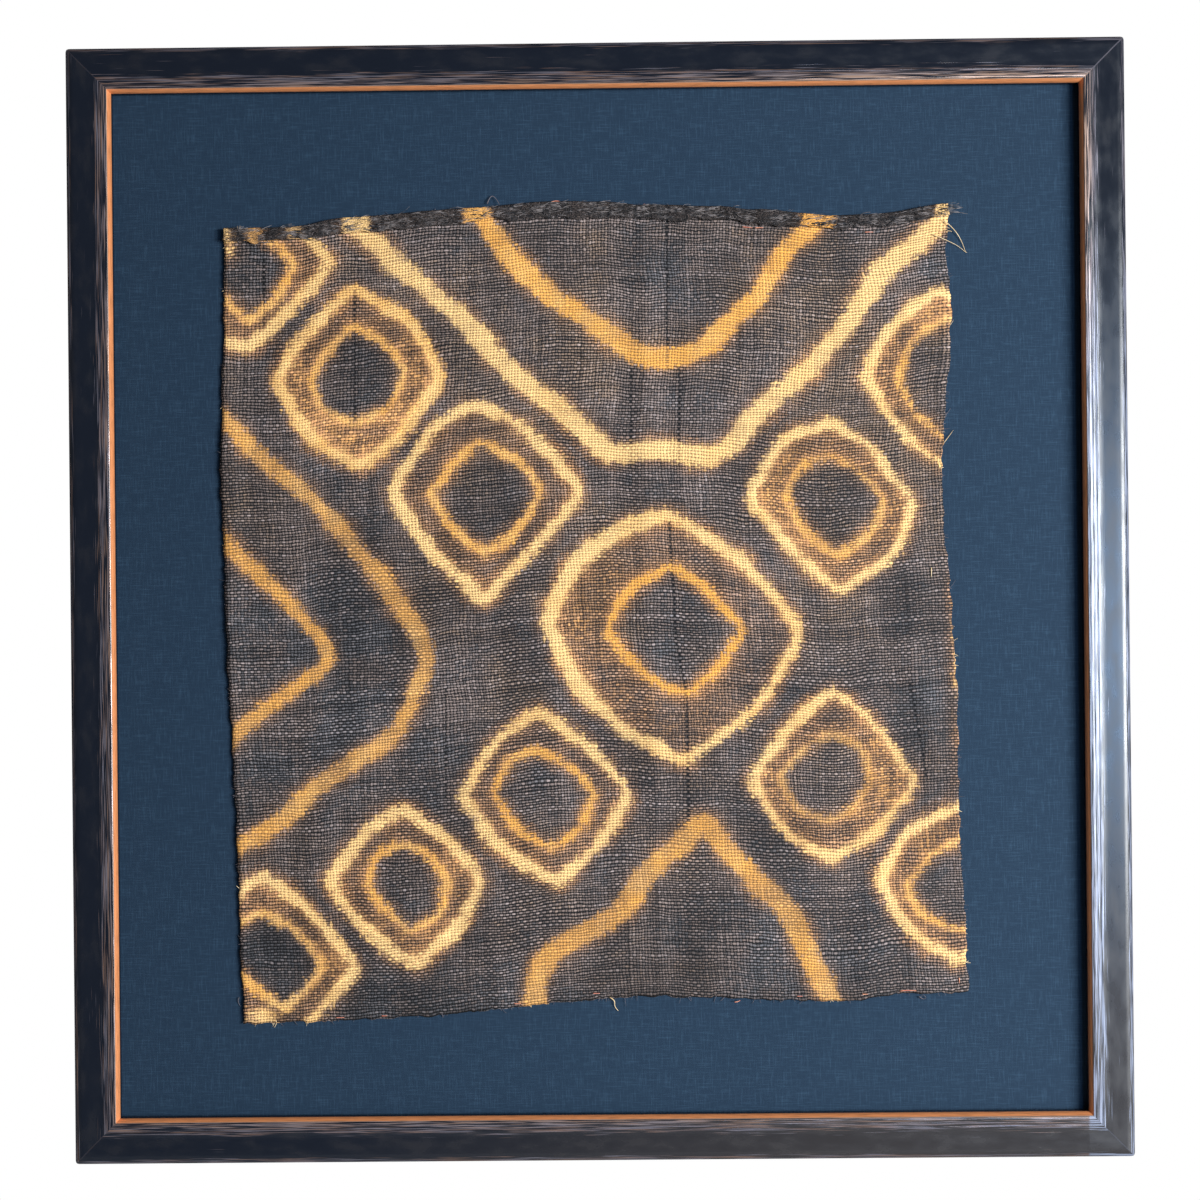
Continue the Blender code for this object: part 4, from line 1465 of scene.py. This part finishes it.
def hem_fibres(hem_depth):
    """Dark fibres over the rolled hem, and near-black ragged ends below its flap that also paint the hem's
    shadow, as (radius, points in metres).
    """
    chance = np.random.default_rng(93)
    fibres = []
    for number in range(HEM_ROLL_FIBRES + HEM_FRINGE_AND_SHADE_FIBRES):
        across = chance.uniform(0.0, 1.0)
        x, z = cloth_point(across, 1.0)
        flap = hem_depth / MM * float(hem_wander(np.array([x]))[0])
        base = lift_at(x, z)
        top = base + 2.4 + float(hem_plump(np.array([x]), np.array([z]))[0])
        if number < HEM_ROLL_FIBRES:
            drop = chance.uniform(0.5, flap)
            slant, length = chance.normal(0.05, 0.14), chance.uniform(5.0, 16.0)
            lift = chance.uniform(-0.25, 0.25)
            heights = (top + lift - 0.4, top + lift + 0.35, top + lift - 0.4)
        else:
            # Near-black ragged ends below the flap, which also paint the hem's shadow
            drop = flap - chance.uniform(0.2, 1.6)
            slant, length = chance.normal(-math.pi / 2, 0.9), chance.uniform(1.0, 3.5)
            heights = (top - 0.2, base + 2.0 + chance.uniform(0, 0.8), base + chance.uniform(0.5, 1.6))
        start = np.array((x, z - drop))
        run = np.array((math.cos(slant), math.sin(slant))) * length
        sideways = np.array((-run[1], run[0])) * chance.normal(0, 0.15)
        spots = (start, start + run / 2 + sideways, start + run)
        points = [(spot[0] * MM, -height * MM, spot[1] * MM) for spot, height in zip(spots, heights)]
        fibres.append((chance.uniform(0.15, 0.36) * MM, points))
    return fibres


def loose_points(thread):
    return [(x * MM, LINEN_LOW.y - off * MM, z * MM) for x, z, off in thread.points]


def make_threads(looks):
    loose = {"pale": [], "dark": [], "coral": []}
    for pale, radius, points in frayed_threads():
        loose["pale" if pale else "dark"].append((radius, points))
    for thread in LOOSE_THREADS:
        loose[thread.colour].append((thread.radius * MM, loose_points(thread)))
    for kind, threads in loose.items():
        thread_mesh(kind + "_threads", threads, thread_material(kind, kind + "_thread"))
    thread_mesh("hem_fibres", hem_fibres(looks.hem_depth), thread_material("hem", "hem_fibre"), roundness=0)


# Operators


class BuildRails(bpy.types.Operator):
    """Builds the four mitred rails with their rubbed paint and copper lip"""

    bl_idname = "raffia_frame.rails"
    bl_label = "Mitred rails"

    def execute(self, context):
        looks = context.scene.rail_looks
        materials = [rail_material(looks), bare_wood_material(looks)]
        half_width, half_height = FRAME_WIDTH / 2, FRAME_HEIGHT / 2
        make_rail("rail_top", FRAME_WIDTH, (0, 0, half_height), 0, 1, materials)
        make_rail("rail_right", FRAME_HEIGHT, (half_width, 0, 0), 90, 2, materials)
        make_rail("rail_bottom", FRAME_WIDTH, (0, 0, -half_height), 180, 3, materials)
        make_rail("rail_left", FRAME_HEIGHT, (-half_width, 0, 0), 270, 4, materials)
        return {"FINISHED"}


class BuildMount(bpy.types.Operator):
    """Finishes the mount board and covers it with stretched blue linen"""

    bl_idname = "raffia_frame.mount"
    bl_label = "Linen mount"

    def execute(self, context):
        looks = context.scene.linen_looks
        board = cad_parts["mount_board"]
        board.data.materials.clear()
        board.data.materials.append(board_material(looks))
        make_linen(looks)
        return {"FINISHED"}


class BuildCloth(bpy.types.Operator):
    """Weaves and dyes the raffia cloth, with its frayed edges, loose threads and stitches"""

    bl_idname = "raffia_frame.cloth"
    bl_label = "Raffia cloth"

    def execute(self, context):
        looks = context.scene.cloth_looks
        cloth = make_cloth(looks)
        make_threads(looks)
        return {"FINISHED"}


class BuildStage(bpy.types.Operator):
    """Sets up the pale floor, the soft light from the right and the camera"""

    bl_idname = "raffia_frame.stage"
    bl_label = "Studio stage"

    def execute(self, context):
        looks = context.scene.stage_looks
        make_floor(looks)
        make_light(looks)
        make_world(context.scene)
        make_camera(context.scene, looks)
        context.scene.view_settings.view_transform = "Standard"
        return {"FINISHED"}


def make_floor(looks):
    bm = bmesh.new()
    bmesh.ops.create_grid(bm, x_segments=8, y_segments=8, size=1.0)
    bmesh.ops.scale(bm, vec=FLOOR_HALF_SIZE, verts=bm.verts)
    mesh = mesh_from("studio_floor", bm)
    mesh.transform(Matrix.Translation((0, FLOOR_MIDDLE_Y, -looks.floor_drop)))
    graph = Graph("pale_floor")
    x, y, _ = graph.place()
    cloud = graph.noise(x / 300, y / 300)
    mesh.materials.append(graph.finish(graph.mix(cloud, looks.floor, dimmed(looks.floor, 0.94)), 0.6))
    linked("studio_floor", mesh)


def make_light(looks):
    window_size = (looks.window_width, looks.window_height)
    hang_lamp("soft_window", window_size, looks.window_power, WINDOW_COLOUR, WINDOW_PLACE)
    hang_lamp("blue_sky", SKY_SIZE, looks.sky_power, SKY_COLOUR, SKY_PLACE)


def hang_lamp(name, size, power, colour, place):
    """Hangs a rectangular lamp at a place and turns it to the object's middle."""
    lamp = bpy.data.lights.new(name, "AREA")
    lamp.shape = "RECTANGLE"
    lamp.size, lamp.size_y = size
    lamp.energy = power
    lamp.color = colour
    light = linked(name, lamp)
    light.location = place
    light.rotation_mode = "QUATERNION"
    light.rotation_quaternion = (-light.location).to_track_quat("-Z", "Y")


def make_world(scene):
    """White behind the object, and a dimmer, slightly blue room that lights it."""
    world = bpy.data.worlds.new("studio_room")
    world.use_nodes = True
    nodes, links = world.node_tree.nodes, world.node_tree.links
    room = nodes["Background"]
    room.inputs["Color"].default_value = ROOM_COLOUR
    paper = nodes.new("ShaderNodeBackground")
    paper.inputs["Color"].default_value = PAPER_COLOUR
    paths = nodes.new("ShaderNodeLightPath")
    choice = nodes.new("ShaderNodeMixShader")
    links.new(paths.outputs["Is Camera Ray"], choice.inputs[0])
    links.new(room.outputs[0], choice.inputs[1])
    links.new(paper.outputs[0], choice.inputs[2])
    links.new(choice.outputs[0], nodes["World Output"].inputs["Surface"])
    scene.world = world


def make_camera(scene, looks):
    """A camera square to the frame, turned and rolled by the small angles of the picture."""
    data = bpy.data.cameras.new("front_camera")
    data.lens = looks.lens
    data.sensor_width = 36
    camera = linked("front_camera", data)
    yaw, pitch, roll = (math.radians(angle) for angle in CAMERA_TURN)
    turn = Matrix.Rotation(yaw, 4, "Z") @ Matrix.Rotation(pitch, 4, "X") @ Matrix.Rotation(roll, 4, "Y")
    level = Matrix.Rotation(math.pi / 2, 4, "X")
    place = (CAMERA_SHIFT[0], -looks.camera_distance, CAMERA_SHIFT[1])
    camera.matrix_world = Matrix.Translation(place) @ turn @ level
    scene.camera = camera


class RaffiaPanel(bpy.types.Panel):
    """Lists the steps and their settings in the 3D view's sidebar"""

    bl_idname = "VIEW3D_PT_raffia_frame"
    bl_label = "Framed raffia cloth"
    bl_space_type = "VIEW_3D"
    bl_region_type = "UI"
    bl_category = "Raffia"

    def draw(self, context):
        layout = self.layout
        scene = context.scene
        steps = (
            (BuildRails, scene.rail_looks), (BuildMount, scene.linen_looks),
            (BuildCloth, scene.cloth_looks), (BuildStage, scene.stage_looks),
        )
        for operator, looks in steps:
            box = layout.box()
            box.operator(operator.bl_idname)
            for name in looks.bl_rna.properties.keys():
                if name not in {"rna_type", "name"}:
                    box.prop(looks, name)


CLASSES = (
    RailLooks, LinenLooks, ClothLooks, StageLooks,
    BuildRails, BuildMount, BuildCloth, BuildStage, RaffiaPanel,
)
LOOKS = {
    "rail_looks": RailLooks, "linen_looks": LinenLooks, "cloth_looks": ClothLooks, "stage_looks": StageLooks,
}


def register():
    for item in CLASSES:
        bpy.utils.register_class(item)
    for name, group in LOOKS.items():
        setattr(bpy.types.Scene, name, bpy.props.PointerProperty(type=group))


def unregister():
    for name in LOOKS:
        delattr(bpy.types.Scene, name)
    for item in reversed(CLASSES):
        bpy.utils.unregister_class(item)


def main():
    register()
    bpy.ops.raffia_frame.stage()
    bpy.ops.raffia_frame.rails()
    bpy.ops.raffia_frame.mount()
    bpy.ops.raffia_frame.cloth()


if __name__ == "__main__":
    main()
